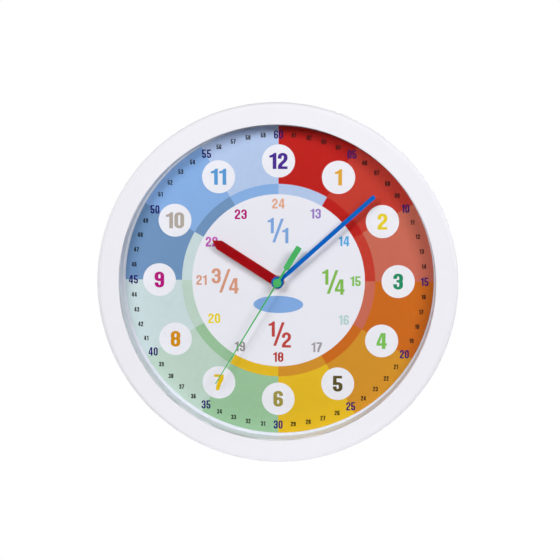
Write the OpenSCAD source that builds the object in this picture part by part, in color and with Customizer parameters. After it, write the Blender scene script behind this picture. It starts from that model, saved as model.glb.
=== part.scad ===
// Teaching wall clock: white rim, lens, printed dial in a moulded pan, three hands
// and a battery quartz movement. The clock hangs upright, with its front towards -Y.
// The origin is on the hands' axis, in the plane of the wall.

/* [Rim and lens] */
// Outside diameter of the rim
case_d = 300; // [280:1:340]
// Width of the rim's front face
rim_w = 18.3; // [17:0.1:24]
// Wall thickness of the rim moulding
rim_wall = 2.5; // [2:0.1:3.5]
// Radius of the rim's outer front edge
rim_edge_r = 4; // [1:0.5:6]
// Radius of the rim's inner front edge
lip_edge_r = 0.4; // [0.2:0.1:2]
// Depth of the lip in front of the lens
lip_h = 3; // [2.5:0.1:5]
// How much smaller the rim's radius is at the wall
rim_draft = 1.5; // [0:0.1:3]
// Thickness of the lens
lens_t = 2; // [1:0.1:3]
// How far the lens reaches under the lip
lens_seat = 2.5; // [2:0.1:4]
// Gap around the lens in its pocket
lens_gap = 0.3; // [0.1:0.1:0.6]
// Wall of the lens pocket
pocket_wall = 2; // [1.5:0.1:3]
// Depth of the pocket wall behind the lens
pocket_skirt = 2; // [1:0.5:4]

/* [Dial pan] */
// Thickness of the pan's floor
pan_floor_t = 2; // [1.5:0.1:3]
// Thickness of the pan's side wall
pan_wall = 1.8; // [1.4:0.1:2.4]
// How far the top of the side wall lies inside the rim's opening
pan_inset = 0.2; // [0:0.1:0.6]
// How much smaller the side wall's radius is at the floor
pan_draft = 0.7; // [0.2:0.1:1.5]
// Height of the flange's front face above the floor
flange_rise = 5; // [3:0.5:8]
// Thickness of the flange
flange_t = 2; // [1.5:0.1:3]
// Gap between the flange and the rim
flange_gap = 0.6; // [0.3:0.1:1.5]
// Number of ribs behind the floor
rib_n = 12; // [6:2:24]
// Height of the ribs
rib_h = 3; // [1:0.5:5]
// Thickness of the ribs and of the movement's seat
rib_t = 1.6; // [1:0.1:2.5]
// Inner radius of the ribs
rib_r = 50; // [48:1:70]
// Gap between the movement and its seat
seat_gap = 0.4; // [0.2:0.1:1]
// Height of the movement's seat
seat_h = 4; // [2:0.5:6]
// Width of the bare floor round the printed sheet
dial_margin = 1.5; // [1.2:0.1:3]
// How far the printed sheet lies to the right of the hands' axis
sheet_right = 0.6; // [-0.7:0.1:0.7]
// How far the printed sheet lies above the hands' axis
sheet_up = 0.9; // [-0.9:0.1:0.9]
// Thickness of the printed sheet
dial_t = 0.5; // [0.2:0.1:1]

/* [Hanger] */
// Height of the keyhole's entry above the hands' axis
keyhole_y = 95; // [70:1:100]
// Radius of the keyhole's entry
keyhole_r = 4.5; // [3.5:0.1:6]
// Width of the keyhole's slot
keyhole_slot_w = 4.6; // [3.5:0.1:6]
// Distance from the entry to the slot's upper end
keyhole_run = 10; // [8:0.5:12]
// Thickness of the keyhole's plate
keyhole_t = 2; // [1.5:0.1:3]
// Room between the keyhole and the hanger box's walls
keyhole_room = 4; // [3:0.5:6]
// Distance of the keyhole's plate from the wall
hanger_gap = 1.5; // [1:0.1:3]
// Wall of the hanger box
hanger_wall = 1.8; // [1.4:0.1:2.5]

/* [Case screws] */
// Number of screws
screw_n = 6; // [4:1:8]
// Radius of the screw's shank
screw_r = 1.3; // [1:0.05:1.5]
// Length of the shank
screw_l = 10; // [8:0.5:12]
// Radius of the screw's head
screw_head_r = 2.8; // [2.4:0.1:3.2]
// Height of the screw's head
screw_head_h = 1.8; // [1.2:0.1:2.4]
// Width of the cross slots in the screw's head
screw_slot_w = 0.6; // [0.4:0.1:0.8]
// Radius of the screw posts
post_r = 4; // [3.5:0.1:4.5]
// Radial clearance of the shank in the flange
screw_clear = 0.4; // [0.2:0.1:0.6]
// Radial clearance of the shank in the post
thread_clear = 0.03; // [0.02:0.01:0.06]

/* [Movement case] */
// Gap between the movement's back and the wall
wall_gap = 4.6; // [4.4:0.1:10]
// Wall of the movement's case
case_wall = 1.4; // [1.2:0.1:2]
// Thickness of the front plate
front_t = 1.2; // [1:0.1:2]
// Corner radius of the case
corner_r = 3; // [1:0.5:5]
// Height of the gear chamber above the hands' axis
chamber_up = 26.6; // [26:0.1:32]
// Depth of the gear chamber below the hands' axis
chamber_down = 10.8; // [10.6:0.1:14]
// Wall between the gear chamber and the battery bay
partition_t = 1.2; // [1:0.1:2]
// Wall at each end of the battery bay
bay_end_wall = 1.8; // [1.5:0.1:3]
// Height of the locating lip inside the front plate
plate_lip_h = 1.2; // [0.8:0.1:2]
// Thickness of the locating lip
plate_lip_t = 1; // [0.6:0.1:1.5]
// Thickness of the train bridge
bridge_t = 1; // [0.8:0.1:1.5]
// Radius of the bridge's posts
bridge_post_r = 1.6; // [1.2:0.1:2]
// Radius of the pegs on the posts
bridge_peg_r = 0.8; // [0.5:0.1:1]
// Radius of the threaded bush
bush_r = 4; // [3.8:0.1:5]
// Length of the bush in front of its nut
bush_proud = 0.8; // [0.4:0.1:2]
// Thickness of the rubber gasket
gasket_t = 0.8; // [0.5:0.1:1.5]
// Outside radius of the rubber gasket
gasket_r = 7.5; // [6:0.5:10]
// Thickness of the nickel-plated washer
washer_t = 0.5; // [0.3:0.1:1]
// Outside radius of the washer
washer_r = 5.6; // [5.2:0.1:9]
// Width of the nut across its flats
nut_w = 10; // [9.6:0.2:13]
// Height of the nut
nut_h = 2.2; // [1.5:0.1:4]

/* [Gear train] */
// Teeth of the rotor's pinion
rotor_z = 8; // [8:1:10]
// Teeth of the intermediate wheel
inter_wheel_z = 48; // [44:1:50]
// Teeth of the intermediate pinion
inter_pinion_z = 12; // [10:1:12]
// Teeth of the second wheel
second_wheel_z = 60; // [56:1:60]
// Teeth of the second pinion
second_pinion_z = 8; // [8:1:9]
// Teeth of the third wheel
third_wheel_z = 60; // [56:1:60]
// Teeth of the third pinion
third_pinion_z = 8; // [8:1:9]
// Teeth of the centre wheel
centre_wheel_z = 64; // [60:1:64]
// Teeth of the minute pipe's pinion
cannon_z = 12; // [12:1:14]
// Teeth of the motion wheel
motion_wheel_z = 36; // [34:1:36]
// Teeth of the motion pinion
motion_pinion_z = 10; // [10:1:11]
// Teeth of the hour wheel
hour_wheel_z = 40; // [38:1:42]
// Teeth of the setting pinion
set_pinion_z = 18; // [16:1:20]
// Module of the rotor's mesh
rotor_m = 0.28; // [0.26:0.01:0.29]
// Module of the second wheel's mesh
second_m = 0.3; // [0.28:0.01:0.3]
// Module of the third wheel's mesh
third_m = 0.3; // [0.28:0.01:0.3]
// Module of the minute pipe's mesh
motion_m = 0.375; // [0.36:0.005:0.375]
// Direction of the third wheel from the hands' axis
third_dir = 150; // [145:1:155]
// Direction of the intermediate wheel from the hands' axis
inter_dir = 40; // [36:1:44]
// Direction of the rotor from the intermediate wheel
rotor_dir = 60; // [56:1:64]
// Direction of the motion wheel from the hands' axis
motion_dir = -10; // [-14:1:-6]
// Direction of the set knob from the motion wheel
set_dir = -8; // [-12:1:-4]
// Thickness of the train's wheels
wheel_t = 1; // [0.8:0.1:1.2]
// Thickness of the motion work's wheels
motion_t = 1.2; // [0.9:0.1:1.5]
// Gap between neighbouring wheels
level_gap = 0.6; // [0.5:0.1:1]
// Backlash thinning of a tooth, in modules
tooth_thin = 0.3; // [0.24:0.02:0.4]
// Radius of the arbors
arbor_r = 0.5; // [0.4:0.05:0.6]
// Radius of the arbors' pivots
pivot_r = 0.35; // [0.25:0.05:0.4]
// Depth of the pivots' bearings
pivot_h = 0.8; // [0.5:0.1:0.9]
// Radial clearance of pivots and pipes
run_clear = 0.06; // [0.04:0.01:0.1]
// Radius of the motion wheel's post
motion_post_r = 0.7; // [0.5:0.05:0.75]
// Radius of the set knob's shaft
knob_shaft_r = 1.5; // [1:0.1:2]
// Radius of the set knob
knob_r = 5.5; // [4:0.5:6.5]
// Thickness of the set knob
knob_t = 3.2; // [2:0.1:3.6]
// Gap between the set knob and the case
knob_gap = 0.4; // [0.3:0.1:0.6]
// Number of grooves round the set knob
knob_groove_n = 24; // [12:2:36]
// Radius of the set knob's grooves
knob_groove_r = 0.4; // [0.2:0.1:0.5]

/* [Motor and electronics] */
// Radius of the rotor's magnet
magnet_r = 3.2; // [2.8:0.1:3.4]
// Length of the rotor's magnet
magnet_h = 2; // [1.6:0.1:2.2]
// Air gap between the magnet and the stator
air_gap = 0.6; // [0.4:0.1:0.8]
// Thickness of the stator
stator_t = 1; // [0.8:0.1:1.2]
// Half length of the stator
stator_half = 11.5; // [10.5:0.1:11.5]
// Half width of the stator beside the rotor
stator_web = 4.4; // [4.2:0.1:4.5]
// Width of the stator's two arms
stator_arm_w = 2.6; // [2:0.1:3]
// Distance from the rotor to the coil's axis
coil_up = 8.8; // [8.6:0.1:9.2]
// Radius of the bobbin's flanges
flange_r = 2.6; // [2.2:0.1:2.7]
// Thickness of the bobbin's flanges
bobbin_flange_t = 0.8; // [0.5:0.1:1.2]
// Radius of the bobbin's barrel
barrel_r = 1.5; // [1.4:0.05:1.6]
// Radius of the winding
winding_r = 2.4; // [2:0.1:2.5]
// Width of the coil's core
core_w = 1.8; // [1.4:0.1:2]
// Thickness of the coil's core
core_t = 1; // [0.8:0.1:1.2]
// Gap between the core and the bobbin
core_gap = 0.1; // [0.05:0.05:0.2]
// Width of the circuit board
board_w = 7; // [6:0.1:7.5]
// Top edge of the circuit board above the hands' axis
board_top = 16; // [12:0.5:20]
// Thickness of the circuit board
board_t = 1; // [0.8:0.1:1.2]
// Height of the board's posts
board_post_h = 1; // [0.6:0.1:1.4]
// Radius of the chip's cover
chip_r = 2.6; // [2:0.1:3]
// Height of the chip's cover
chip_h = 1.1; // [0.8:0.1:1.4]
// Radius of the crystal's can
crystal_r = 1; // [0.8:0.1:1.2]
// Length of the crystal's can
crystal_l = 6; // [5:0.5:7]

/* [Battery] */
// Diameter of the cell
cell_d = 14.5; // [13.5:0.1:14.5]
// Length of the cell with its nub
cell_l = 50.5; // [49:0.1:51]
// Radius of the positive nub
nub_r = 2.7; // [2.2:0.1:2.9]
// Length of the positive nub
nub_l = 1.2; // [1:0.1:1.6]
// Chamfer of the cell's ends
cell_edge = 0.6; // [0.3:0.1:1]
// Gap around the cell in its bay
cell_gap = 0.35; // [0.2:0.05:0.6]
// Gap between the cell and the front plate
cell_floor_gap = 0.25; // [0.2:0.05:0.6]
// Gap between the cell's ends and the contacts
contact_gap = 0.05; // [0.05:0.01:0.15]
// Thickness of the contact strips
strip_t = 0.4; // [0.3:0.05:0.5]
// Width of the contact strips
strip_w = 4; // [3:0.1:5]
// Gap between the contact strips and the case
strip_gap = 0.1; // [0.05:0.05:0.2]
// Rise of the negative contact's leaf
leaf_rise = 0.8; // [0.6:0.1:1.2]

/* [Hands] */
// Thickness of the hands
hand_t = 0.5; // [0.3:0.05:0.8]
// Height of the hour hand above the bush
hour_lift = 3; // [2.4:0.1:5]
// Clear distance between neighbouring hands
hand_gap = 2.6; // [2:0.1:4]
// Clear distance between the second hand and the lens
lens_room = 1.9; // [1:0.1:4]
// Clockwise angle of the hour hand from twelve
hour_angle = 302.4; // [0:0.1:360]
// Clockwise angle of the minute hand from twelve
minute_angle = 48; // [0:0.1:360]
// Clockwise angle of the second hand from twelve
second_angle = 211.2; // [0:0.1:360]
// Length of the hour hand
hour_l = 64.8; // [50:0.1:80]
// Width of the hour hand
hour_w = 8.3; // [6:0.1:11]
// Length of the hour hand's point
hour_point = 6.8; // [4:0.1:12]
// Radius of the hour hand's hub
hour_hub_r = 5.1; // [4.5:0.1:8]
// Length of the minute hand
minute_l = 108.2; // [90:0.1:118]
// Width of the minute hand
minute_w = 3.65; // [3:0.05:6]
// Width of the minute hand at its hub
minute_neck_w = 2.7; // [2.4:0.1:4]
// Distance from the hub's centre at which the minute hand is at full width
minute_neck_l = 15; // [8:0.5:20]
// Radius of the minute hand's hub
minute_hub_r = 5.1; // [4:0.1:6]
// Length of the second hand
second_l = 99.7; // [80:0.1:115]
// Width of the second hand at its hub
second_w = 1.4; // [1:0.1:2]
// Width of the second hand at its tip
second_tip_w = 0.8; // [0.6:0.1:1.5]
// Radius of the second hand's hub
second_hub_r = 3.6; // [2.5:0.1:4.5]
// Length of the second hand's tail
tail_l = 35.4; // [25:0.1:45]
// Length of the tail's counterweight
weight_l = 22.2; // [15:0.1:25]
// Width of the counterweight at its inner end
weight_w = 4.8; // [3:0.1:6]
// Width of the counterweight at its outer end
weight_end_w = 5.1; // [3:0.1:7]
// Width of the tail beside the hub
tail_w = 1.8; // [1:0.1:2.5]
// Radius of the hands' rounded corners
hand_corner_r = 0.9; // [0.3:0.1:1.2]
// Wall of the hands' collars
collar_wall = 0.8; // [0.5:0.1:1.2]
// Length of the collars behind the hands
collar_h = 1.6; // [1:0.1:2]
// Wall of the hands' pipes
pipe_wall = 0.85; // [0.75:0.05:1]
// Radial clearance of a collar on its pipe
collar_clear = 0.02; // [0.01:0.01:0.04]

/* [Hidden] */
$fn = 64;
// Overcut that keeps cutting faces off the cut ones
cut = 1;
// Overlap that joins the shapes of one piece
weld = 0.5;
// Gap between an arbor's shoulder and its bearing
end_play = 0.15;
// Gap between a pivot's end and the bottom of its bearing
pivot_play = 0.1;
// Gap between a wheel and the boss in front of it
boss_gap = 0.4;
// Wall round a pivot's bearing in a boss
boss_wall = 1.05;
// Radial clearance of the bush in the pieces that it clamps
bush_clear = 0.1;
// Clearance of the front plate's locating lip
lip_clear = 0.15;
// Corner radius of the locating lip
lip_corner_r = 1;
// Radial clearance of the bridge on its pegs
peg_clear = 0.05;
// How far a pipe stands out of its hand
pipe_proud = 0.3;
// How far the screw posts run into the pocket's wall
post_bite = 0.4;
// Spare depth of the screws' holes
screw_spare = 1;
// Step between the minute pipe and its clutch seat
clutch_step = 0.2;
// Radius of the set knob's front pivot
set_pivot_r = 2 * pivot_r;
// Radius of the circuit board's posts
board_post_r = 1.2;
// Radius of the pins that carry the stator
stator_pin_r = 1.1;
// Clearance round the motor's pieces
motor_gap = 0.1;
// Margin of the bridge from the chamber's walls
bridge_margin = 1;
// Margin of the posts from the bridge's edge
post_margin = 0.3;

// Heights above the wall, from the wall to the front of the rim
rear_z = wall_gap;
rear_in_z = rear_z + case_wall;
inter_z = rear_in_z + level_gap;
second_z = inter_z + wheel_t + level_gap;
third_z = second_z + wheel_t + level_gap;
bridge_z = third_z + wheel_t + level_gap;
centre_z = bridge_z + bridge_t + level_gap;
cannon_lv = centre_z + wheel_t + level_gap;
hour_lv = cannon_lv + motion_t + level_gap;
front_in_z = hour_lv + motion_t + level_gap;
third_boss_z = centre_z + wheel_t + boss_gap;
set_boss_z = cannon_lv + motion_t + boss_gap;
front_z = front_in_z + front_t;
floor_z = front_z + gasket_t;
dial_z = floor_z + pan_floor_t;
face_z = dial_z + dial_t;
nut_z = face_z + washer_t;
bush_z = nut_z + nut_h + bush_proud;
hour_z = bush_z + hour_lift;
minute_z = hour_z + hand_t + hand_gap;
second_hand_z = minute_z + hand_t + hand_gap;
lens_z = second_hand_z + hand_t + lens_room;
lip_z = lens_z + lens_t;
rim_z = lip_z + lip_h;

// Radii of the rim, the lens and the pan
rim_r = case_d / 2;
open_r = rim_r - rim_w;
pocket_r = open_r + lens_seat + lens_gap;
post_at = pocket_r + pocket_wall + post_r - post_bite;
skirt_r = rim_r - rim_draft - rim_wall;
pan_top_r = open_r - pan_inset;
pan_foot_r = pan_top_r - pan_draft;
dial_r = pan_foot_r - dial_margin;
flange_z = dial_z + flange_rise;

// Radii of the pipes on the hands' axis
minute_bore_r = arbor_r + run_clear;
minute_pipe_r = minute_bore_r + pipe_wall;
hour_bore_r = minute_pipe_r + run_clear;
hour_pipe_r = hour_bore_r + pipe_wall;
bush_bore_r = hour_pipe_r + run_clear;
clutch_r = minute_pipe_r - clutch_step;

// Plan of the movement: x to the right and y up, seen from the front
bay_l = cell_l + 2 * contact_gap + 2 * (strip_t + strip_gap) + leaf_rise;
bay_top = -chamber_down - partition_t;
cell_y = bay_top - cell_gap - cell_d / 2;
bay_foot = cell_y - cell_d / 2 - cell_gap;
case_half = bay_l / 2 + bay_end_wall;
case_foot = bay_foot - case_wall;
case_top = chamber_up + case_wall;
chamber_half = case_half - case_wall;
cell_z = front_in_z - cell_floor_gap - cell_d / 2;
cell_plus_x = bay_l / 2 - strip_gap - strip_t - contact_gap;

// Modules of the meshes that share their axes with the ones set above
centre_m = third_m * (second_pinion_z + third_wheel_z) / (third_pinion_z + centre_wheel_z);
hour_m = motion_m * (cannon_z + motion_wheel_z) / (motion_pinion_z + hour_wheel_z);

// Places of the axes
function polar(r, a) = [r * cos(a), r * sin(a)];
function spacing(m, za, zb) = m * (za + zb) / 2;
axis_at = [0, 0];
third_at = polar(spacing(third_m, second_pinion_z, third_wheel_z), third_dir);
inter_at = polar(spacing(second_m, inter_pinion_z, second_wheel_z), inter_dir);
rotor_at = inter_at + polar(spacing(rotor_m, rotor_z, inter_wheel_z), rotor_dir);
motion_at = polar(spacing(motion_m, cannon_z, motion_wheel_z), motion_dir);
set_at = motion_at + polar(spacing(motion_m, motion_wheel_z, set_pinion_z), set_dir);

// Places of the posts in the rear case
board_x = 2 * strip_gap + strip_t - chamber_half;
bridge_x = board_x + board_w + boss_gap;
post_inset = bridge_margin + post_margin + bridge_post_r;
upper_post_x = -8;
right_post_y = 4;
bridge_posts = [[upper_post_x, chamber_up - post_inset], [chamber_half - post_inset, right_post_y],
                [bridge_x + post_inset, post_inset - chamber_down]];
board_foot = strip_gap - chamber_down;
board_mid = board_x + board_w / 2;
board_posts = [for (y = [board_foot + board_w / 2, board_top - board_w / 2]) [board_mid, y]];
board_z = rear_in_z + board_post_h;
strip_z = board_z + board_t;

// Plan of the motor
coil_y = rotor_at[1] + coil_up;
core_z = rear_in_z + motor_gap + flange_r;
stator_z = core_z + core_t / 2;
bobbin_half = stator_half - stator_arm_w - 2 * motor_gap;
magnet_z = stator_z + (stator_t - magnet_h) / 2;
stator_pins = [for (s = [-1, 1]) [rotor_at[0] + s * (stator_half - stator_arm_w / 2), rotor_at[1]]];

// Tooth form
pressure = 20;
wheel_add = 0.5;
pinion_add = 0.75;
tooth_ded = 1.1;
flank_n = 3;
degrees = 180 / PI;

// Angle, in degrees, by which an involute from base radius rb leans at radius r
function lean(rb, r) = let (a = acos(min(1, rb / r))) tan(a) * degrees - a;

// Half angle of a tooth at radius r
function half_tooth(z, m, r) =
    let (rp = m * z / 2, rb = rp * cos(pressure))
    90 / z - tooth_thin / z * degrees + lean(rb, rp) - lean(rb, max(r, rb));

// Radii at which a tooth's flank has points
function flank_radii(z, m, add) =
    let (rp = m * z / 2, rb = rp * cos(pressure), root = rp - tooth_ded * m,
         start = max(rb, root), tip = rp + add * m)
    concat(root < rb ? [root] : [], [for (i = [0:flank_n]) start + (tip - start) * i / flank_n]);

// Outline of a gear with its first tooth at the angle phase
function gear_points(z, m, add, phase) =
    let (radii = flank_radii(z, m, add), n = len(radii))
    [for (k = [0:z - 1], i = [0:2 * n - 1])
        let (r = radii[i < n ? i : 2 * n - 1 - i], side = i < n ? -1 : 1)
        polar(r, phase + k * 360 / z + side * half_tooth(z, m, r))];

// Phase of a gear of zb teeth that meshes, in direction dir, with one of za teeth at phase pa
function meshed(za, pa, zb, dir) = dir + 180 - (0.5 - (dir - pa) * za / 360) * 360 / zb;

// Points of an arc, for outlines
function arc(c, r, a0, a1, n = 8) = [for (i = [0:n]) c + polar(r, a0 + (a1 - a0) * i / n)];

// Outline of a rectangle with round corners
function round_rect(x0, y0, x1, y1, r) = concat(
    arc([x1 - r, y0 + r], r, -90, 0), arc([x1 - r, y1 - r], r, 0, 90),
    arc([x0 + r, y1 - r], r, 90, 180), arc([x0 + r, y0 + r], r, 180, 270));

// Outline of a bent strip of thickness t along the points p
function unit(v) = v / norm(v);
function strip_side(p, t) = [for (i = [0:len(p) - 1])
    let (a = unit(p[max(i, 1)] - p[max(i, 1) - 1]),
         b = unit(p[min(i, len(p) - 2) + 1] - p[min(i, len(p) - 2)]),
         n = unit([-a[1] - b[1], a[0] + b[0]]))
    p[i] + n * t / 2 / (n * [-a[1], a[0]])];
function strip_points(p, t) = let (left = strip_side(p, t), right = strip_side(p, -t))
    concat(left, [for (i = [len(p) - 1:-1:0]) right[i]]);

// Stands the face-up clock upright, with its front towards -Y
module upright() rotate([90, 0, 0]) children();

// A round piece of the given heights at a place in the plan
module rod(at, z0, z1, r) translate([at[0], at[1], z0]) cylinder(h = z1 - z0, r = r);

// A gear of the given thickness at a place in the plan
module gear(at, z0, t, z, m, add, phase)
    translate([at[0], at[1], z0]) linear_extrude(t) polygon(gear_points(z, m, add, phase));

// A box between two corners
module block(a, b) translate(a) cube(b - a);

// A tube of the given heights
module tube(at, z0, z1, r, bore) difference() {
    rod(at, z0, z1, r);
    rod(at, z0 - cut, z1 + cut, bore);
}

// Repeats a child round the axis
module around(n, start = 0) for (k = [0:n - 1]) rotate(start + k * 360 / n) children();

module bezel() color("#eef0f3") upright() {
    rim_back = rim_z - rim_wall;
    difference() {
        union() {
            rotate_extrude($fn = 180) polygon(concat(
                [[rim_r - rim_draft, 0]],
                arc([rim_r - rim_edge_r, rim_z - rim_edge_r], rim_edge_r, 0, 90, 10),
                arc([open_r + lip_edge_r, rim_z - lip_edge_r], lip_edge_r, 90, 180, 6),
                [[open_r, lip_z], [pocket_r, lip_z], [pocket_r, lens_z - pocket_skirt],
                 [pocket_r + pocket_wall, lens_z - pocket_skirt], [pocket_r + pocket_wall, rim_back],
                 [rim_r - rim_wall, rim_back], [skirt_r, 0]]));
            around(screw_n) translate([post_at, 0, flange_z])
                cylinder(h = rim_back - flange_z + weld, r = post_r);
        }
        around(screw_n) translate([post_at, 0, flange_z - cut])
            cylinder(h = screw_l - flange_t + screw_spare + cut, r = screw_r + thread_clear);
    }
}

module lens() color("#e8f2f4", 0.3) upright()
    translate([0, 0, lens_z]) cylinder(h = lens_t, r = pocket_r - lens_gap, $fn = 180);

module keyhole() union() {
    rod([0, keyhole_y], hanger_gap - cut, hanger_gap + keyhole_t + cut, keyhole_r);
    rod([0, keyhole_y + keyhole_run], hanger_gap - cut, hanger_gap + keyhole_t + cut, keyhole_slot_w / 2);
    block([-keyhole_slot_w / 2, keyhole_y, hanger_gap - cut],
          [keyhole_slot_w / 2, keyhole_y + keyhole_run, hanger_gap + keyhole_t + cut]);
}

module dial_pan() color("#f1f2f4") upright() {
    box_x = keyhole_r + keyhole_room;
    box_y0 = keyhole_y - keyhole_r - keyhole_room;
    box_y1 = keyhole_y + keyhole_run + keyhole_slot_w / 2 + keyhole_room;
    seat = seat_gap + rib_t;
    difference() {
        union() {
            rotate_extrude($fn = 180) polygon([
                [0, floor_z], [pan_foot_r + pan_wall, floor_z], [pan_foot_r + pan_wall, flange_z - flange_t],
                [skirt_r - flange_gap, flange_z - flange_t], [skirt_r - flange_gap, flange_z],
                [pan_foot_r + pan_wall, flange_z], [pan_top_r + pan_wall, lens_z],
                [pan_top_r, lens_z], [pan_foot_r, dial_z], [0, dial_z]]);
            around(rib_n, 180 / rib_n)
                block([rib_r, -rib_t / 2, floor_z - rib_h],
                      [pan_foot_r + pan_wall / 2, rib_t / 2, floor_z + weld]);
            block([-box_x - hanger_wall, box_y0 - hanger_wall, hanger_gap],
                  [box_x + hanger_wall, box_y1 + hanger_wall, floor_z + weld]);
            difference() {
                block([-case_half - seat, case_foot - seat, floor_z - seat_h],
                      [case_half + seat, case_top + seat, floor_z + weld]);
                block([-case_half - seat_gap, case_foot - seat_gap, floor_z - seat_h - cut],
                      [case_half + seat_gap, case_top + seat_gap, floor_z]);
            }
        }
        block([-box_x, box_y0, hanger_gap + keyhole_t], [box_x, box_y1, dial_z + cut]);
        keyhole();
        rod(axis_at, floor_z - cut, dial_z + cut, bush_r + bush_clear);
        around(screw_n) translate([post_at, 0, flange_z - flange_t - cut])
            cylinder(h = flange_t + 2 * cut, r = screw_r + screw_clear);
    }
}

module dial_sheet() color("#e9e9f0") upright() difference() {
    rod([sheet_right, sheet_up], dial_z, face_z, dial_r);
    rod(axis_at, dial_z - cut, face_z + cut, bush_r + bush_clear);
}

module case_screws() color("#b9bcc0") upright()
    around(screw_n) translate([post_at, 0, flange_z - flange_t]) difference() {
        union() {
            cylinder(h = screw_l, r = screw_r);
            rotate_extrude() polygon(concat([[0, 0], [screw_head_r, 0]],
                arc([screw_head_r - screw_head_h / 2, -screw_head_h / 2], screw_head_h / 2, 0, -90, 6),
                [[0, -screw_head_h]]));
        }
        for (a = [0, 90]) rotate(a)
            block([-screw_r, -screw_slot_w / 2, -screw_head_h - cut],
                  [screw_r, screw_slot_w / 2, -screw_head_h / 2]);
    }

// The gear chamber's plan, drawn in by a margin
module chamber_outline(margin) polygon(round_rect(margin - chamber_half, margin - chamber_down,
    chamber_half - margin, chamber_up - margin, lip_corner_r));

module movement_front_case() color("#26282b") upright() difference() {
    union() {
        translate([0, 0, front_in_z]) linear_extrude(front_t)
            polygon(round_rect(-case_half, case_foot, case_half, case_top, corner_r));
        rod(axis_at, front_in_z, bush_z, bush_r);
        rod(motion_at, cannon_lv - level_gap / 2, front_in_z + weld, motion_post_r);
        rod(third_at, third_boss_z, front_in_z + weld, pivot_r + run_clear + boss_wall);
        rod(set_at, set_boss_z, front_in_z + weld, set_pivot_r + run_clear + boss_wall);
        translate([0, 0, front_in_z - plate_lip_h]) linear_extrude(plate_lip_h + weld) difference() {
            chamber_outline(lip_clear);
            chamber_outline(lip_clear + plate_lip_t);
        }
    }
    rod(axis_at, front_in_z - cut, bush_z + cut, bush_bore_r);
    rod(third_at, centre_z, third_boss_z + pivot_h, pivot_r + run_clear);
    rod(set_at, cannon_lv, set_boss_z + pivot_h, set_pivot_r + run_clear);
}

module movement_rear_case() color("#2b2d30") upright() difference() {
    notch_z = strip_z - strip_gap;
    union() {
        difference() {
            translate([0, 0, rear_z]) linear_extrude(front_in_z - rear_z)
                polygon(round_rect(-case_half, case_foot, case_half, case_top, corner_r));
            block([-chamber_half, -chamber_down, rear_in_z], [chamber_half, chamber_up, front_in_z + cut]);
            block([-bay_l / 2, bay_foot, rear_z - cut], [bay_l / 2, bay_top, front_in_z + cut]);
        }
        for (p = bridge_posts) rod(p, rear_in_z - weld, bridge_z, bridge_post_r);
        for (p = bridge_posts) rod(p, rear_in_z - weld, bridge_z + bridge_t, bridge_peg_r);
        for (p = board_posts) rod(p, rear_in_z - weld, board_z, board_post_r);
    }
    for (at = [axis_at, third_at, inter_at, rotor_at])
        rod(at, rear_in_z - pivot_h, rear_in_z + cut, pivot_r + run_clear);
    rod(set_at, rear_z - cut, rear_in_z + cut, knob_shaft_r + run_clear);
    for (s = [-1, 1]) translate([s * (bay_l / 2 - strip_gap - strip_t / 2), 0, 0])
        block([-strip_t / 2 - strip_gap, bay_top - cut, notch_z],
              [strip_t / 2 + strip_gap, cut - chamber_down, front_in_z + cut]);
}

module train_bridge() color("#d8d4c6") upright() difference() {
    union() {
        translate([0, 0, bridge_z]) linear_extrude(bridge_t)
            polygon(round_rect(bridge_x, bridge_margin - chamber_down, chamber_half - bridge_margin,
                               chamber_up - bridge_margin, bridge_margin));
        for (p = stator_pins) rod(p, stator_z + stator_t, bridge_z + bridge_t, stator_pin_r);
    }
    rod(axis_at, bridge_z - cut, bridge_z + bridge_t + cut, arbor_r + run_clear);
    rod(third_at, bridge_z - cut, bridge_z + bridge_t + cut, arbor_r + run_clear);
    for (at = [inter_at, rotor_at]) rod(at, bridge_z - cut, bridge_z + bridge_t + cut, pivot_r + run_clear);
    rod(set_at, bridge_z - cut, bridge_z + bridge_t + cut, knob_shaft_r + run_clear);
    for (p = bridge_posts) rod(p, bridge_z - cut, bridge_z + bridge_t + cut, bridge_peg_r + peg_clear);
}

module bush_nut() color("#cfcdc8") upright() difference() {
    translate([0, 0, nut_z]) cylinder(h = nut_h, d = nut_w / cos(30), $fn = 6);
    rod(axis_at, nut_z - cut, nut_z + nut_h + cut, bush_r + collar_clear);
}

module bush_washer() color("#cfcdc8") upright() tube(axis_at, face_z, nut_z, washer_r, bush_r + bush_clear);

module rubber_gasket() color("#202022") upright()
    tube(axis_at, front_z, floor_z, gasket_r, bush_r + bush_clear);

module circuit_board() color("#2f6b45") upright()
    block([board_x, board_foot, board_z], [board_x + board_w, board_top, board_z + board_t]);

module driver_chip() color("#1c1c1e") upright()
    translate([board_mid, (board_foot + board_top) / 2 - chip_r, board_z + board_t]) rotate_extrude()
        polygon(concat([[0, 0], [chip_r, 0]], arc([chip_r - chip_h, 0], chip_h, 0, 90, 6), [[0, chip_h]]));

module quartz_crystal() color("#c8ccd0") upright()
    translate([board_mid, board_top - crystal_l - crystal_r, board_z + board_t + crystal_r])
        rotate([-90, 0, 0]) cylinder(h = crystal_l, r = crystal_r);

module stator() color("#9a9ea3") upright() translate([0, 0, stator_z]) linear_extrude(stator_t) difference() {
    x0 = rotor_at[0] - stator_half;
    x1 = rotor_at[0] + stator_half;
    y0 = rotor_at[1] - stator_web;
    y1 = rotor_at[1] + stator_web;
    arm_y = coil_y + core_w / 2;
    polygon([[x0, y0], [x1, y0], [x1, arm_y], [x1 - stator_arm_w, arm_y], [x1 - stator_arm_w, y1],
             [x0 + stator_arm_w, y1], [x0 + stator_arm_w, arm_y], [x0, arm_y]]);
    translate(rotor_at) circle(r = magnet_r + air_gap);
}

module coil_core() color("#8a8e93") upright()
    block([rotor_at[0] - stator_half, coil_y - core_w / 2, core_z - core_t / 2],
          [rotor_at[0] + stator_half, coil_y + core_w / 2, core_z + core_t / 2]);

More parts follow.
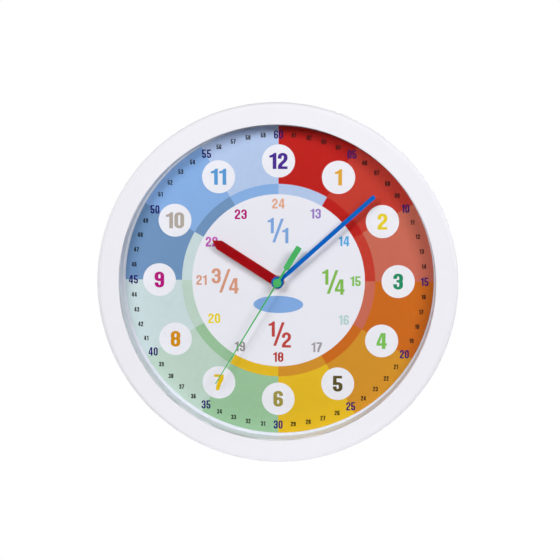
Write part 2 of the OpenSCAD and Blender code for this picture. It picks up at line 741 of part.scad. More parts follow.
// A round piece along the coil's axis
module coil_rod(x0, x1, r) translate([rotor_at[0] + x0, coil_y, core_z]) rotate([0, 90, 0])
    cylinder(h = x1 - x0, r = r);

module coil_bobbin() color("#e6e0cf") upright() difference() {
    union() {
        coil_rod(-bobbin_half, bobbin_half, barrel_r);
        coil_rod(-bobbin_half, bobbin_flange_t - bobbin_half, flange_r);
        coil_rod(bobbin_half - bobbin_flange_t, bobbin_half, flange_r);
    }
    block([rotor_at[0] - bobbin_half - cut, coil_y - core_w / 2 - core_gap, core_z - core_t / 2 - core_gap],
          [rotor_at[0] + bobbin_half + cut, coil_y + core_w / 2 + core_gap, core_z + core_t / 2 + core_gap]);
}

module coil_winding() color("#b5652b") upright() difference() {
    winding_half = bobbin_half - bobbin_flange_t - motor_gap;
    coil_rod(-winding_half, winding_half, winding_r);
    coil_rod(-bobbin_half, bobbin_half, barrel_r + collar_clear);
}

module rotor_magnet() color("#55585c") upright()
    tube(rotor_at, magnet_z, magnet_z + magnet_h, magnet_r, arbor_r + collar_clear);

// An arbor between two bearings, with its pivots
module arbor(at, z0, z1) {
    rod(at, z0 + end_play, z1 - end_play, arbor_r);
    rod(at, z0 - pivot_h + pivot_play, z1 + pivot_h - pivot_play, pivot_r);
}

module rotor_pinion() color("#e2ddd0") upright() {
    gear(rotor_at, inter_z, wheel_t, rotor_z, rotor_m, pinion_add,
         meshed(inter_wheel_z, 0, rotor_z, rotor_dir));
    arbor(rotor_at, rear_in_z, bridge_z);
}

module intermediate_wheel() color("#e8e4d8") upright() {
    gear(inter_at, inter_z, wheel_t, inter_wheel_z, rotor_m, wheel_add, 0);
    gear(inter_at, inter_z + wheel_t, level_gap + wheel_t, inter_pinion_z, second_m, pinion_add,
         meshed(second_wheel_z, 0, inter_pinion_z, inter_dir));
    arbor(inter_at, rear_in_z, bridge_z);
}

module second_wheel() color("#e8e4d8") upright() {
    gear(axis_at, second_z, wheel_t, second_wheel_z, second_m, wheel_add, 0);
    gear(axis_at, second_z + wheel_t, level_gap + wheel_t, second_pinion_z, third_m, pinion_add, 0);
    rod(axis_at, rear_in_z + end_play, second_hand_z - end_play, arbor_r);
    rod(axis_at, rear_in_z - pivot_h + pivot_play, second_z, pivot_r);
}

module third_wheel() color("#e8e4d8") upright() {
    gear(third_at, third_z, wheel_t, third_wheel_z, third_m, wheel_add,
         meshed(second_pinion_z, 0, third_wheel_z, third_dir));
    gear(third_at, centre_z, wheel_t, third_pinion_z, centre_m, pinion_add, 0);
    arbor(third_at, rear_in_z, third_boss_z);
}

module centre_wheel() color("#e8e4d8") upright() difference() {
    gear(axis_at, centre_z, wheel_t, centre_wheel_z, centre_m, wheel_add,
         meshed(third_pinion_z, 0, centre_wheel_z, third_dir + 180));
    rod(axis_at, centre_z - cut, centre_z + wheel_t + cut, clutch_r + run_clear);
}

module minute_pipe() color("#d9b766") upright() difference() {
    union() {
        rod(axis_at, bridge_z + bridge_t + end_play, cannon_lv, clutch_r);
        gear(axis_at, cannon_lv, motion_t, cannon_z, motion_m, pinion_add, 0);
        rod(axis_at, cannon_lv, minute_z + hand_t + pipe_proud, minute_pipe_r);
    }
    rod(axis_at, bridge_z, second_hand_z, minute_bore_r);
}

module motion_wheel() color("#e8e4d8") upright() difference() {
    union() {
        gear(motion_at, cannon_lv, motion_t, motion_wheel_z, motion_m, wheel_add,
             meshed(cannon_z, 0, motion_wheel_z, motion_dir));
        gear(motion_at, cannon_lv + motion_t, level_gap + motion_t, motion_pinion_z, hour_m, pinion_add, 0);
    }
    rod(motion_at, cannon_lv - cut, front_in_z, motion_post_r + run_clear);
}

module hour_wheel() color("#e8e4d8") upright() difference() {
    union() {
        gear(axis_at, hour_lv, motion_t, hour_wheel_z, hour_m, wheel_add,
             meshed(motion_pinion_z, 0, hour_wheel_z, motion_dir + 180));
        rod(axis_at, hour_lv, hour_z + hand_t + pipe_proud, hour_pipe_r);
    }
    rod(axis_at, hour_lv - cut, hour_z + hand_t + cut, hour_bore_r);
}

module set_knob() color("#3a3c40") upright() {
    motion_phase = meshed(cannon_z, 0, motion_wheel_z, motion_dir);
    difference() {
        rod(set_at, rear_z - knob_gap - knob_t, rear_z - knob_gap, knob_r);
        translate(concat(set_at, [rear_z - knob_gap - knob_t - cut])) around(knob_groove_n)
            translate([knob_r, 0, 0]) cylinder(h = knob_t + 2 * cut, r = knob_groove_r, $fn = 24);
    }
    rod(set_at, rear_z - knob_gap - weld, cannon_lv + weld, knob_shaft_r);
    gear(set_at, cannon_lv, motion_t, set_pinion_z, motion_m, pinion_add,
         meshed(motion_wheel_z, motion_phase, set_pinion_z, set_dir));
    rod(set_at, cannon_lv, set_boss_z + pivot_h - pivot_play, set_pivot_r);
}

module positive_contact() color("#d5d8db") upright() translate([0, 0, strip_z]) linear_extrude(strip_w)
    polygon(strip_points([[bay_l / 2 - strip_gap - strip_t / 2, cell_y - strip_w],
                  [bay_l / 2 - strip_gap - strip_t / 2, strip_gap + strip_t / 2 - chamber_down],
                  [board_mid, strip_gap + strip_t / 2 - chamber_down]], strip_t));

module negative_contact() color("#d5d8db") upright() translate([0, 0, strip_z]) linear_extrude(strip_w) {
    x = strip_gap + strip_t / 2 - bay_l / 2;
    polygon(strip_points([[x, cell_y - strip_w], [x, board_foot + strip_w]], strip_t));
    polygon(strip_points([[x, cell_y - strip_w], [x + leaf_rise, cell_y],
                          [x + leaf_rise / 2, cell_y + strip_w]], strip_t));
}

module battery() color("#3f4a57") upright()
    translate([cell_plus_x - cell_l, cell_y, cell_z]) rotate([0, 90, 0]) rotate_extrude() polygon([
        [0, 0], [cell_d / 2 - cell_edge, 0], [cell_d / 2, cell_edge],
        [cell_d / 2, cell_l - nub_l - cell_edge],
        [cell_d / 2 - cell_edge, cell_l - nub_l], [nub_r, cell_l - nub_l], [nub_r, cell_l], [0, cell_l]]);

module second_hand_tube() color("#c9a24a") upright() tube(axis_at, second_hand_z - collar_h, second_hand_z,
    arbor_r + collar_clear + collar_wall, arbor_r + collar_clear);

// A collar that grips a pipe of radius r behind a hand
module collar(z0, r) rod(axis_at, z0 - collar_h, z0 + hand_t, r + collar_clear + collar_wall);

module hour_hand() color("#a00d1e") upright() rotate(-hour_angle) difference() {
    union() {
        rod(axis_at, hour_z, hour_z + hand_t, hour_hub_r);
        translate([0, 0, hour_z]) linear_extrude(hand_t) polygon([
            [-hour_w / 2, 0], [hour_w / 2, 0], [hour_w / 2, hour_l - hour_point], [0, hour_l],
            [-hour_w / 2, hour_l - hour_point]]);
        collar(hour_z, hour_pipe_r);
    }
    rod(axis_at, hour_z - collar_h - cut, hour_z + hand_t + cut, hour_pipe_r + collar_clear);
}

module minute_hand() color("#0a62c4") upright() rotate(-minute_angle) difference() {
    half = minute_w / 2;
    union() {
        rod(axis_at, minute_z, minute_z + hand_t, minute_hub_r);
        translate([0, 0, minute_z]) linear_extrude(hand_t) polygon(concat(
            [[-minute_neck_w / 2, 0], [minute_neck_w / 2, 0], [half, minute_neck_l]],
            arc([half - hand_corner_r, minute_l - hand_corner_r], hand_corner_r, 0, 90, 4),
            arc([hand_corner_r - half, minute_l - hand_corner_r], hand_corner_r, 90, 180, 4),
            [[-half, minute_neck_l]]));
        collar(minute_z, minute_pipe_r);
    }
    rod(axis_at, minute_z - collar_h - cut, minute_z + hand_t + cut, minute_pipe_r + collar_clear);
}

module second_hand() color("#4bb062") upright() rotate(-second_angle) translate([0, 0, second_hand_z]) {
    weight_y = -tail_l + weight_l;
    half = weight_end_w / 2 - hand_corner_r;
    cylinder(h = hand_t, r = second_hub_r);
    linear_extrude(hand_t) polygon([[-second_w / 2, 0], [second_w / 2, 0], [second_tip_w / 2, second_l],
                                    [-second_tip_w / 2, second_l]]);
    linear_extrude(hand_t) polygon(concat(
        [[tail_w / 2, 0], [-tail_w / 2, 0], [-tail_w / 2, weight_y],
         [-weight_w / 2, weight_y - hand_corner_r]],
        arc([-half, hand_corner_r - tail_l], hand_corner_r, 180, 270, 4),
        arc([half, hand_corner_r - tail_l], hand_corner_r, 270, 360, 4),
        [[weight_w / 2, weight_y - hand_corner_r], [tail_w / 2, weight_y]]));
}

bezel();
lens();
dial_pan();
dial_sheet();
case_screws();
movement_front_case();
movement_rear_case();
train_bridge();
bush_nut();
bush_washer();
rubber_gasket();
circuit_board();
driver_chip();
quartz_crystal();
stator();
coil_core();
coil_bobbin();
coil_winding();
rotor_magnet();
rotor_pinion();
intermediate_wheel();
second_wheel();
third_wheel();
centre_wheel();
minute_pipe();
motion_wheel();
hour_wheel();
set_knob();
positive_contact();
negative_contact();
battery();
second_hand_tube();
hour_hand();
minute_hand();
second_hand();
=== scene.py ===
"""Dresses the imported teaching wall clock: its finishes, printed dial, hands, back, studio and camera.

Heights are millimetres in front of the wall, so a height h lies at y = -h. Flat shapes are drawn as
(x, z) points seen from the front, with z up.
"""

import logging
import math
from collections.abc import Callable, Iterable
from dataclasses import dataclass, field
from enum import Enum, IntEnum
from functools import cached_property

import bpy
from mathutils import Matrix, Vector
from mathutils.geometry import tessellate_polygon

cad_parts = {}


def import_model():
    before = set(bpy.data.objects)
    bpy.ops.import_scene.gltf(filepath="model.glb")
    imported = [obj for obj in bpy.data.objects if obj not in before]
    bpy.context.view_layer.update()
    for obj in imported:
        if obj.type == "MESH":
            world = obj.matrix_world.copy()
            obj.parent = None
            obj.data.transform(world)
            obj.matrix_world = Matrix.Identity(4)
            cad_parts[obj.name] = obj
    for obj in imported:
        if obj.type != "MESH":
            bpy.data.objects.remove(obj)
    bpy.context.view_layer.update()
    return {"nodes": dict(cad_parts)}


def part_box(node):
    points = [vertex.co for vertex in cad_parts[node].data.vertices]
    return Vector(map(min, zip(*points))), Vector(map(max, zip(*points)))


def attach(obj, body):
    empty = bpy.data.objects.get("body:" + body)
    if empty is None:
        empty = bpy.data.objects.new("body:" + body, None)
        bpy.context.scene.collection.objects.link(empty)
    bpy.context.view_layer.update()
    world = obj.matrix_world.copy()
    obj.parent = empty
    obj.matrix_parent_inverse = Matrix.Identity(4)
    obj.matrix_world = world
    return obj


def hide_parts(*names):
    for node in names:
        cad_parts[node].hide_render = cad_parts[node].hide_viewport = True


LOG = logging.getLogger("teaching_clock")

MM = 0.001

Point = tuple[float, float]
Loop = list[Point]
Rgb = tuple[int, int, int]
Stretch = tuple[float, float, float]
Station = tuple[float, float, int]
Socket = bpy.types.NodeSocket

EVEN: Stretch = (1.0, 1.0, 1.0)


def linear(colour: Rgb) -> tuple[float, float, float, float]:
    """Turns a display colour into the values that shaders take.

    Args:
        colour: red, green and blue from 0 to 255.

    Returns:
        Linear red, green, blue and an alpha of one.
    """
    shares = (value / 255 for value in colour)
    red, green, blue = (s / 12.92 if s <= 0.04045 else ((s + 0.055) / 1.055) ** 2.4 for s in shares)
    return red, green, blue, 1.0


def shaded(colour: Rgb, share: float) -> Rgb:
    """Gives a display colour with each channel multiplied by a share, and 255 at most."""
    red, green, blue = (min(255, round(value * share)) for value in colour)
    return red, green, blue


def clockwise(radius: float, degrees: float, centre: Point = (0.0, 0.0)) -> Point:
    """Gives the x and z of a point on a dial, at an angle clockwise from twelve o'clock."""
    turn = math.radians(degrees)
    return centre[0] + radius * math.sin(turn), centre[1] + radius * math.cos(turn)


class Graph:
    """The node tree of a material or the world, with short ways to add and join its nodes."""

    def __init__(self, owner: bpy.types.Material | bpy.types.World) -> None:
        """Starts an empty tree.

        Args:
            owner: the material or world that the tree belongs to.
        """
        owner.use_nodes = True
        self.owner = owner
        self.nodes = owner.node_tree.nodes
        self.nodes.clear()

    @cached_property
    def place(self) -> Socket:
        """The place on the piece in metres, which the patterns follow."""
        return self.add("ShaderNodeTexCoord").outputs["Object"]

    @classmethod
    def of_material(cls, name: str) -> "Graph":
        """Starts the tree of a new material."""
        return cls(bpy.data.materials.new(name))

    def add(self, kind: str, values: dict[str | int, object] | None = None) -> bpy.types.Node:
        """Adds a node.

        Args:
            kind: Blender's name for the node.
            values: constants or sockets for its inputs, by input name or number.

        Returns:
            The new node.
        """
        node = self.nodes.new(kind)
        for name, value in (values or {}).items():
            self.feed(node.inputs[name], value)
        return node

    def feed(self, target: Socket, value: object) -> None:
        """Sets an input to a constant, or links a socket to it.

        Args:
            target: the input.
            value: the constant or the socket.
        """
        if isinstance(value, bpy.types.NodeSocket):
            self.owner.node_tree.links.new(value, target)
        else:
            target.default_value = value

    def noise(self, size: float, detail: float = 3.0, stretch: Stretch = EVEN) -> Socket:
        """Adds a noise pattern.

        Args:
            size: width of its grain in millimetres.
            detail: octaves of finer grain.
            stretch: factor on the grain's frequency along x, y and z.

        Returns:
            The pattern's value, from 0 to 1.
        """
        place = self.place
        if stretch != EVEN:
            place = self.add("ShaderNodeMapping", {"Vector": place, "Scale": stretch}).outputs["Vector"]
        values = {"Vector": place, "Scale": 1 / (size * MM), "Detail": detail}
        return self.add("ShaderNodeTexNoise", values).outputs["Fac"]

    def spread(self, value: Socket, low: float, high: float,
               start: float = 0.3, end: float = 0.7) -> Socket:
        """Maps a pattern's range from start to end onto the range from low to high."""
        values = {"Value": value, "From Min": start, "From Max": end, "To Min": low, "To Max": high}
        return self.add("ShaderNodeMapRange", values).outputs["Result"]

    def ramp(self, value: Socket, stops: tuple[tuple[float, Rgb], tuple[float, Rgb]]) -> Socket:
        """Turns a pattern into a blend of two colours.

        Args:
            value: the pattern.
            stops: two places from 0 to 1 with their colours.

        Returns:
            The colour socket.
        """
        node = self.add("ShaderNodeValToRGB", {"Fac": value})
        for element, (at, colour) in zip(node.color_ramp.elements, stops):
            element.position = at
            element.color = linear(colour)
        return node.outputs["Color"]

    def bump(self, height: Socket, depth: float, under: Socket | None = None) -> Socket:
        """Turns a pattern into relief.

        Args:
            height: the pattern.
            depth: height of the relief in millimetres.
            under: normal of a coarser relief that this one lies on.

        Returns:
            The normal socket.
        """
        values = {"Height": height, "Distance": depth * MM}
        if under is not None:
            values["Normal"] = under
        return self.add("ShaderNodeBump", values).outputs["Normal"]

    def finish(self, shader: Socket) -> bpy.types.Material:
        """Joins the shader to the output and gives the material."""
        self.add("ShaderNodeOutputMaterial", {"Surface": shader})
        return self.owner


@dataclass(frozen=True)
class Finish:
    """An opaque finish: a colour that drifts, a gloss that varies and a fine relief.

    Sizes are millimetres. patch gives the noise values where the darker and the plain colour begin, and
    smear_share the size of the gloss's smears as a share of the colour's patches.
    """

    name: str
    colour: Rgb
    roughness: float = 0.45
    gloss_drift: float = 0.08
    colour_drift: float = 0.03
    drift_size: float = 14.0
    grain: float = 0.5
    relief: float = 0.01
    metallic: float = 0.0
    specular: float = 0.5
    coat: float = 0.0
    coat_roughness: float = 0.12
    patch: Point = (0.35, 0.65)
    smear_share: float = 0.6
    smear_detail: float = 5.0
    grain_detail: float = 2.0

    def material(self) -> bpy.types.Material:
        """Gives the finish's material, built on first use."""
        return bpy.data.materials.get(f"dress_{self.name}") or self.build()

    def build(self) -> bpy.types.Material:
        """Builds the material.

        Returns:
            The new material.
        """
        graph = Graph.of_material(f"dress_{self.name}")
        shader = graph.add("ShaderNodeBsdfPrincipled", {
            "Base Color": self.tint(graph),
            "Metallic": self.metallic,
            "Roughness": self.gloss(graph),
            "Specular IOR Level": self.specular,
            "Coat Weight": self.coat,
            "Coat Roughness": self.coat_roughness,
            "Normal": self.normal(graph),
        })
        return graph.finish(shader.outputs["BSDF"])

    def tint(self, graph: Graph) -> Socket:
        """Gives the colour, drifting over wide soft patches."""
        colours = (shaded(self.colour, 1 - self.colour_drift), self.colour)
        return graph.ramp(graph.noise(self.drift_size), tuple(zip(self.patch, colours)))

    def gloss(self, graph: Graph) -> Socket:
        """Gives the roughness, smeared as by handling."""
        smear = graph.noise(self.drift_size * self.smear_share, self.smear_detail)
        return graph.spread(smear, self.roughness - self.gloss_drift, self.roughness + self.gloss_drift)

    def normal(self, graph: Graph) -> Socket:
        """Gives the grain's relief."""
        return graph.bump(graph.noise(self.grain, self.grain_detail), self.relief)


@dataclass(frozen=True)
class MouldedPlastic(Finish):
    """Moulded plastic: eroded-mould grain over broad sink waves, with scuffs that dull the gloss."""

    wave: float = 0.02
    wave_size: float = 26.0
    wave_detail: float = 1.0
    scuff: float = 0.1
    scuff_size: float = 1.6
    scuff_detail: float = 6.0
    scuff_stretch: Stretch = (0.15, 1.0, 1.0)
    scuff_range: Point = (0.62, 0.75)

    def gloss(self, graph: Graph) -> Socket:
        """Gives the roughness, with faint scuffs over the handling smears.

        Args:
            graph: the node tree to add to.

        Returns:
            The roughness socket.
        """
        smear = Finish.gloss(self, graph)
        marks = graph.noise(self.scuff_size, self.scuff_detail, self.scuff_stretch)
        scuffs = graph.spread(marks, 0.0, self.scuff, *self.scuff_range)
        return graph.add("ShaderNodeMath", {0: smear, 1: scuffs}).outputs["Value"]

    def normal(self, graph: Graph) -> Socket:
        """Gives the grain on broad sink waves."""
        waves = graph.bump(graph.noise(self.wave_size, self.wave_detail), self.wave)
        return graph.bump(graph.noise(self.grain, self.grain_detail), self.relief, waves)


@dataclass(frozen=True)
class DrawnMetal(Finish):
    """Metal with fine drawing lines along one axis and a slight tarnish."""

    lines: Stretch = (0.05, 1.0, 1.0)
    line_detail: float = 4.0

    def normal(self, graph: Graph) -> Socket:
        """Gives the drawing lines."""
        return graph.bump(graph.noise(self.grain, self.line_detail, self.lines), self.relief)


@dataclass(frozen=True)
class Winding(Finish):
    """Enamelled wire wound in close turns along x."""

    wire: float = 0.3

    def normal(self, graph: Graph) -> Socket:
        """Gives the turns of wire as round ridges.

        Args:
            graph: the node tree to add to.

        Returns:
            The normal socket.
        """
        wave = graph.add("ShaderNodeTexWave", {"Vector": graph.place, "Scale": 0.5 / (self.wire * MM)})
        wave.bands_direction = "X"
        return graph.bump(wave.outputs["Fac"], self.wire / 2)


@dataclass(frozen=True)
class HandPaint(Finish):
    """Baked paint on sheet metal, with a fine orange-peel."""

    roughness: float = 0.4
    gloss_drift: float = 0.05
    colour_drift: float = 0.05
    drift_size: float = 9.0
    grain: float = 0.8
    relief: float = 0.004
    specular: float = 0.06


@dataclass(frozen=True)
class Ink(Finish):
    """Satin printing ink on the dial's paper, with its faint press mottle."""

    roughness: float = 0.55
    colour_drift: float = 0.014
    drift_size: float = 5.0
    grain: float = 0.15
    relief: float = 0.004
    specular: float = 0.08


@dataclass(frozen=True)
class ClearPlastic:
    """Thin clear plastic that lets light through and mirrors more the flatter it is seen.

    mirror and grazing are the shares mirrored straight on and at the flattest, and fall is the power of
    the rise between them.
    """

    name: str
    mirror: float
    grazing: float = 0.6
    fall: float = 5.0
    roughness: float = 0.05
    smear_rise: float = 3.0
    smear_size: float = 30.0
    smear_detail: float = 4.0
    wave: float = 0.02
    wave_size: float = 45.0
    wave_detail: float = 1.0

    def material(self) -> bpy.types.Material:
        """Builds the material.

        Returns:
            The new material.
        """
        graph = Graph.of_material(f"dress_{self.name}")
        clear = graph.add("ShaderNodeBsdfTransparent").outputs["BSDF"]
        smears = graph.noise(self.smear_size, self.smear_detail)
        smear = graph.spread(smears, self.roughness, self.roughness * self.smear_rise)
        waves = graph.bump(graph.noise(self.wave_size, self.wave_detail), self.wave)
        gloss = graph.add("ShaderNodeBsdfGlossy", {"Roughness": smear, "Normal": waves}).outputs["BSDF"]
        slant = graph.add("ShaderNodeLayerWeight", {"Blend": 0.5}).outputs["Facing"]
        steep = graph.add("ShaderNodeMath", {0: slant, 1: self.fall})
        steep.operation = "POWER"
        share = graph.spread(steep.outputs["Value"], self.mirror, self.grazing, 0.0, 1.0)
        mixed = graph.add("ShaderNodeMixShader", {0: share, 1: clear, 2: gloss})
        return graph.finish(mixed.outputs["Shader"])


class Plastic(Enum):
    """The clock's plastics."""

    RIM = MouldedPlastic("rim_white", (240, 239, 245), 0.62, colour_drift=0.006, grain=0.35, relief=0.005,
                         specular=0.12, wave=0.006)
    PAN = MouldedPlastic("pan_white", (222, 226, 234), 0.45, colour_drift=0.012, grain=0.4, relief=0.008,
                         specular=0.3)
    CASE = MouldedPlastic("movement_black", (34, 34, 37), 0.5, colour_drift=0.12, grain=0.25, relief=0.02)
    KNOB = MouldedPlastic("knob_grey", (52, 53, 57), 0.42, colour_drift=0.1, grain=0.3, relief=0.01)
    GEAR = MouldedPlastic("gear_natural", (226, 222, 206), 0.4, grain=0.3, relief=0.004)
    BOBBIN = MouldedPlastic("bobbin_black", (40, 40, 42), 0.5, grain=0.3, relief=0.006)
    WASHER = MouldedPlastic("cell_washer", (206, 204, 196), 0.5, grain=0.3, relief=0.004)


class Metal(Enum):
    """The clock's metals."""

    STEEL = DrawnMetal("zinc_steel", (196, 197, 199), 0.32, grain=0.3, relief=0.004, metallic=1.0)
    NICKEL = DrawnMetal("nickel_strip", (206, 203, 196), 0.25, grain=0.25, relief=0.003, metallic=1.0)
    BRASS = DrawnMetal("brass", (205, 168, 92), 0.28, colour_drift=0.08, grain=0.3, relief=0.004,
                       metallic=1.0)
    LAMINATION = DrawnMetal("soft_iron", (150, 150, 152), 0.4, grain=0.3, relief=0.004, metallic=1.0)
    MAGNET = DrawnMetal("sintered_magnet", (82, 80, 80), 0.55, grain=0.2, relief=0.01, metallic=0.6)


class Paint(Enum):
    """The paints of the hands."""

    HOUR = HandPaint("hour_red", (157, 0, 8))
    MINUTE = HandPaint("minute_blue", (0, 97, 192))
    SECOND = HandPaint("second_green", (74, 180, 100))


class Sundry(Enum):
    """The finishes that are used once."""

    PAPER = Finish("dial_stock", (233, 233, 241), 0.6, gloss_drift=0.06, colour_drift=0.006, drift_size=20.0,
                   grain=0.12, relief=0.006, specular=0.1)
    RUBBER = Finish("gasket_rubber", (30, 30, 31), 0.75, grain=0.2, relief=0.02)
    BOARD = Finish("board_lacquer", (42, 92, 58), 0.38, colour_drift=0.15, drift_size=3.0, grain=0.3)
    CHIP = Finish("chip_resin", (24, 24, 26), 0.3, drift_size=2.0, grain=0.8, relief=0.02)
    COPPER = Winding("coil_copper", (176, 92, 52), 0.3, metallic=1.0)
    SLEEVE = DrawnMetal("cell_sleeve", (44, 68, 120), 0.3, grain=0.4, relief=0.003, coat=0.4)
    SLEEVE_PRINT = DrawnMetal("cell_print", (222, 226, 232), 0.32, grain=0.4, relief=0.003, coat=0.4)
    LENS = ClearPlastic("lens_clear", 0.002)


NODE_FINISHES: dict[Enum, tuple[str, ...]] = {
    Plastic.RIM: ("bezel",),
    Plastic.PAN: ("dial_pan",),
    Plastic.CASE: ("movement_front_case", "movement_rear_case", "train_bridge"),
    Plastic.KNOB: ("set_knob",),
    Plastic.GEAR: ("rotor_pinion", "intermediate_wheel", "second_wheel", "third_wheel", "centre_wheel",
                   "motion_wheel", "hour_wheel"),
    Plastic.BOBBIN: ("coil_bobbin",),
    Metal.STEEL: ("case_screws",),
    Metal.NICKEL: ("bush_nut", "bush_washer", "quartz_crystal", "positive_contact", "negative_contact"),
    Metal.BRASS: ("minute_pipe", "second_hand_tube"),
    Metal.LAMINATION: ("stator", "coil_core"),
    Metal.MAGNET: ("rotor_magnet",),
    Paint.HOUR: ("hour_hand",),
    Paint.MINUTE: ("minute_hand",),
    Paint.SECOND: ("second_hand",),
    Sundry.PAPER: ("dial_sheet",),
    Sundry.RUBBER: ("rubber_gasket",),
    Sundry.BOARD: ("circuit_board",),
    Sundry.CHIP: ("driver_chip",),
    Sundry.COPPER: ("coil_winding",),
    Sundry.SLEEVE: ("battery",),
    Sundry.LENS: ("lens",),
}


def around(axis: Point, x: float, radius: float, turn: float) -> Vector:
    """Gives a point, in metres, round a line along x at a height and z, turned in radians from the back."""
    return Vector((x, radius * math.cos(turn) - axis[0], radius * math.sin(turn) + axis[1])) * MM


@dataclass
class Shape:
    """A mesh in the making: points, faces and the material index of each face."""

    points: list[Vector] = field(default_factory=list)
    faces: list[tuple[int, ...]] = field(default_factory=list)
    inks: list[int] = field(default_factory=list)

    def slab(self, loops: list[Loop], low: float, high: float, ink: int = 0) -> None:
        """Adds a flat plate that faces the front.

        Args:
            loops: the outline, anticlockwise, and then its holes, clockwise, in millimetres.
            low: height of its back face.
            high: height of its front face.
            ink: material index.
        """
        flat = [point for loop in loops for point in loop]
        back, count = len(self.points), len(flat)
        front = back + count
        self.points += [Vector((x, -h, z)) * MM for h in (low, high) for x, z in flat]
        for a, b, c in tessellate_polygon([[Vector((x, z, 0)) for x, z in loop] for loop in loops]):
            (ax, az), (bx, bz), (cx, cz) = flat[a], flat[b], flat[c]
            if (bx - ax) * (cz - az) < (bz - az) * (cx - ax):
                b, c = c, b
            self.faces += [(front + a, front + b, front + c), (back + a, back + c, back + b)]
            self.inks += [ink, ink]
        start = back
        for loop in loops:
            for k in range(len(loop)):
                near, far = start + k, start + (k + 1) % len(loop)
                self.faces.append((near, far, far + count, near + count))
                self.inks.append(ink)
            start += len(loop)

    def turned(self, stations: list[Station], axis: Point, sides: int = 72) -> None:
        """Adds a solid turned about a line along x.

        Args:
            stations: x, radius and the material index of the band that starts there, from left to right.
            axis: height and z of the line.
            sides: number of chords round it.
        """
        rings: list[list[int]] = []
        for x, radius, _ in stations:
            base = len(self.points)
            turns = [math.tau * k / sides for k in range(sides)] if radius else [0.0]
            self.points += [around(axis, x, radius, turn) for turn in turns]
            rings.append([base + k % len(turns) for k in range(sides + 1)])
        for (near, far), (_, _, ink) in zip(zip(rings, rings[1:]), stations):
            for k in range(sides):
                corners = (near[k], near[k + 1], far[k + 1], far[k])
                self.faces.append(tuple(dict.fromkeys(corners)))
                self.inks.append(ink)

    def strip(self, ends: Point, turns: Point, radii: Point, axis: Point, ink: int, steps: int = 8) -> None:
        """Adds a thin strip that follows a round surface about a line along x.

        Args:
            ends: x of its two sides.
            turns: angles of its two ends from the back, in degrees.
            radii: its inner and outer radius.
            axis: height and z of the line.
            ink: material index.
            steps: number of chords along it.
        """
        base = len(self.points)
        (left, right), (inner, outer) = ends, radii
        for k in range(steps + 1):
            turn = math.radians(turns[0] + (turns[1] - turns[0]) * k / steps)
            for x, radius in ((left, inner), (right, inner), (right, outer), (left, outer)):
                self.points.append(around(axis, x, radius, turn))
        made = [(base + 3, base + 2, base + 1, base)]
        for k in range(steps):
            low, high = base + 4 * k, base + 4 * k + 4
            made += [(low + j, low + (j + 1) % 4, high + (j + 1) % 4, high + j) for j in range(4)]
        last = base + 4 * steps
        made.append((last, last + 1, last + 2, last + 3))
        self.faces += made
        self.inks += [ink] * len(made)

    def piece(self, name: str, body: str, materials: Iterable[bpy.types.Material],
              round_under: float | None = None) -> bpy.types.Object:
        """Makes the mesh an object that rides on a body.

        Args:
            name: the piece's name.
            body: the body that it moves with.
            materials: its materials, in the order of the face indices.
            round_under: angle in degrees up to which edges are shaded round.

        Returns:
            The new object.
        """
        mesh = bpy.data.meshes.new(name)
        mesh.from_pydata(self.points, [], self.faces)
        for material in materials:
            mesh.materials.append(material)
        mesh.polygons.foreach_set("material_index", self.inks)
        if round_under is not None:
            mesh.shade_smooth()
            mesh.set_sharp_from_angle(angle=math.radians(round_under))
        mesh.update()
        made = bpy.data.objects.new(name, mesh)
        bpy.context.scene.collection.objects.link(made)
        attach(made, body)
        LOG.info("built %s with %d faces on %s", name, len(self.faces), body)
        return made


class Pen:
    """Draws one closed outline from straight runs, arcs and curves."""

    def __init__(self, *points: Point) -> None:
        """Starts the outline with a run of points."""
        self.points: Loop = list(points)

    def line(self, *points: Point) -> "Pen":
        """Goes straight to each point in turn."""
        self.points += points
        return self

    def arc(self, centre: Point, radii: Point, start: float, end: float, steps: int = 10) -> "Pen":
        """Goes round part of an ellipse.

        Args:
            centre: the ellipse's centre.
            radii: its half width and half height.
            start: angle where it starts, in degrees anticlockwise from the right.
            end: angle where it ends.
            steps: number of chords.

        Returns:
            The pen.
        """
        for k in range(steps + 1):
            turn = math.radians(start + (end - start) * k / steps)
            x, z = centre[0] + radii[0] * math.cos(turn), centre[1] + radii[1] * math.sin(turn)
            self.points.append((x, z))
        return self

    def curve(self, near: Point, far: Point, end: Point, steps: int = 8) -> "Pen":
        """Goes along a cubic curve.

        Args:
            near: handle of the last point.
            far: handle of the end.
            end: where it goes to.
            steps: number of chords.

        Returns:
            The pen.
        """
        first = self.points[-1]
        for k in range(1, steps + 1):
            t = k / steps
            shares = ((1 - t) ** 3, 3 * t * (1 - t) ** 2, 3 * t * t * (1 - t), t ** 3)
            x, z = (sum(share * point[axis] for share, point in zip(shares, (first, near, far, end)))
                    for axis in (0, 1))
            self.points.append((x, z))
        return self


def ellipse(middle: Point, half: Point, steps: int = 96) -> Loop:
    """Draws an ellipse, anticlockwise, from its middle and its half width and half height."""
    return Pen().arc(middle, half, 0, 360, steps).points[:-1]


def ring(middle: Point, inner: float, outer: float, steps: int = 48) -> list[Loop]:
    """Draws the outline and the hole of a round ring from its inner and outer radius."""
    return [ellipse(middle, (outer, outer), steps), ellipse(middle, (inner, inner), steps)[::-1]]


def rounded(low: Point, high: Point, radius: float, steps: int = 6) -> Loop:
    """Draws a rectangle with round corners, anticlockwise.

    Args:
        low: its lower left corner.
        high: its upper right corner.
        radius: radius of the corners.
        steps: number of chords in a corner.

    Returns:
        The outline.
    """
    pen = Pen()
    corners = ((high[0] - radius, high[1] - radius), (low[0] + radius, high[1] - radius),
               (low[0] + radius, low[1] + radius), (high[0] - radius, low[1] + radius))
    for quarter, corner in enumerate(corners):
        pen.arc(corner, (radius, radius), 90 * quarter, 90 * quarter + 90, steps)
    return pen.points


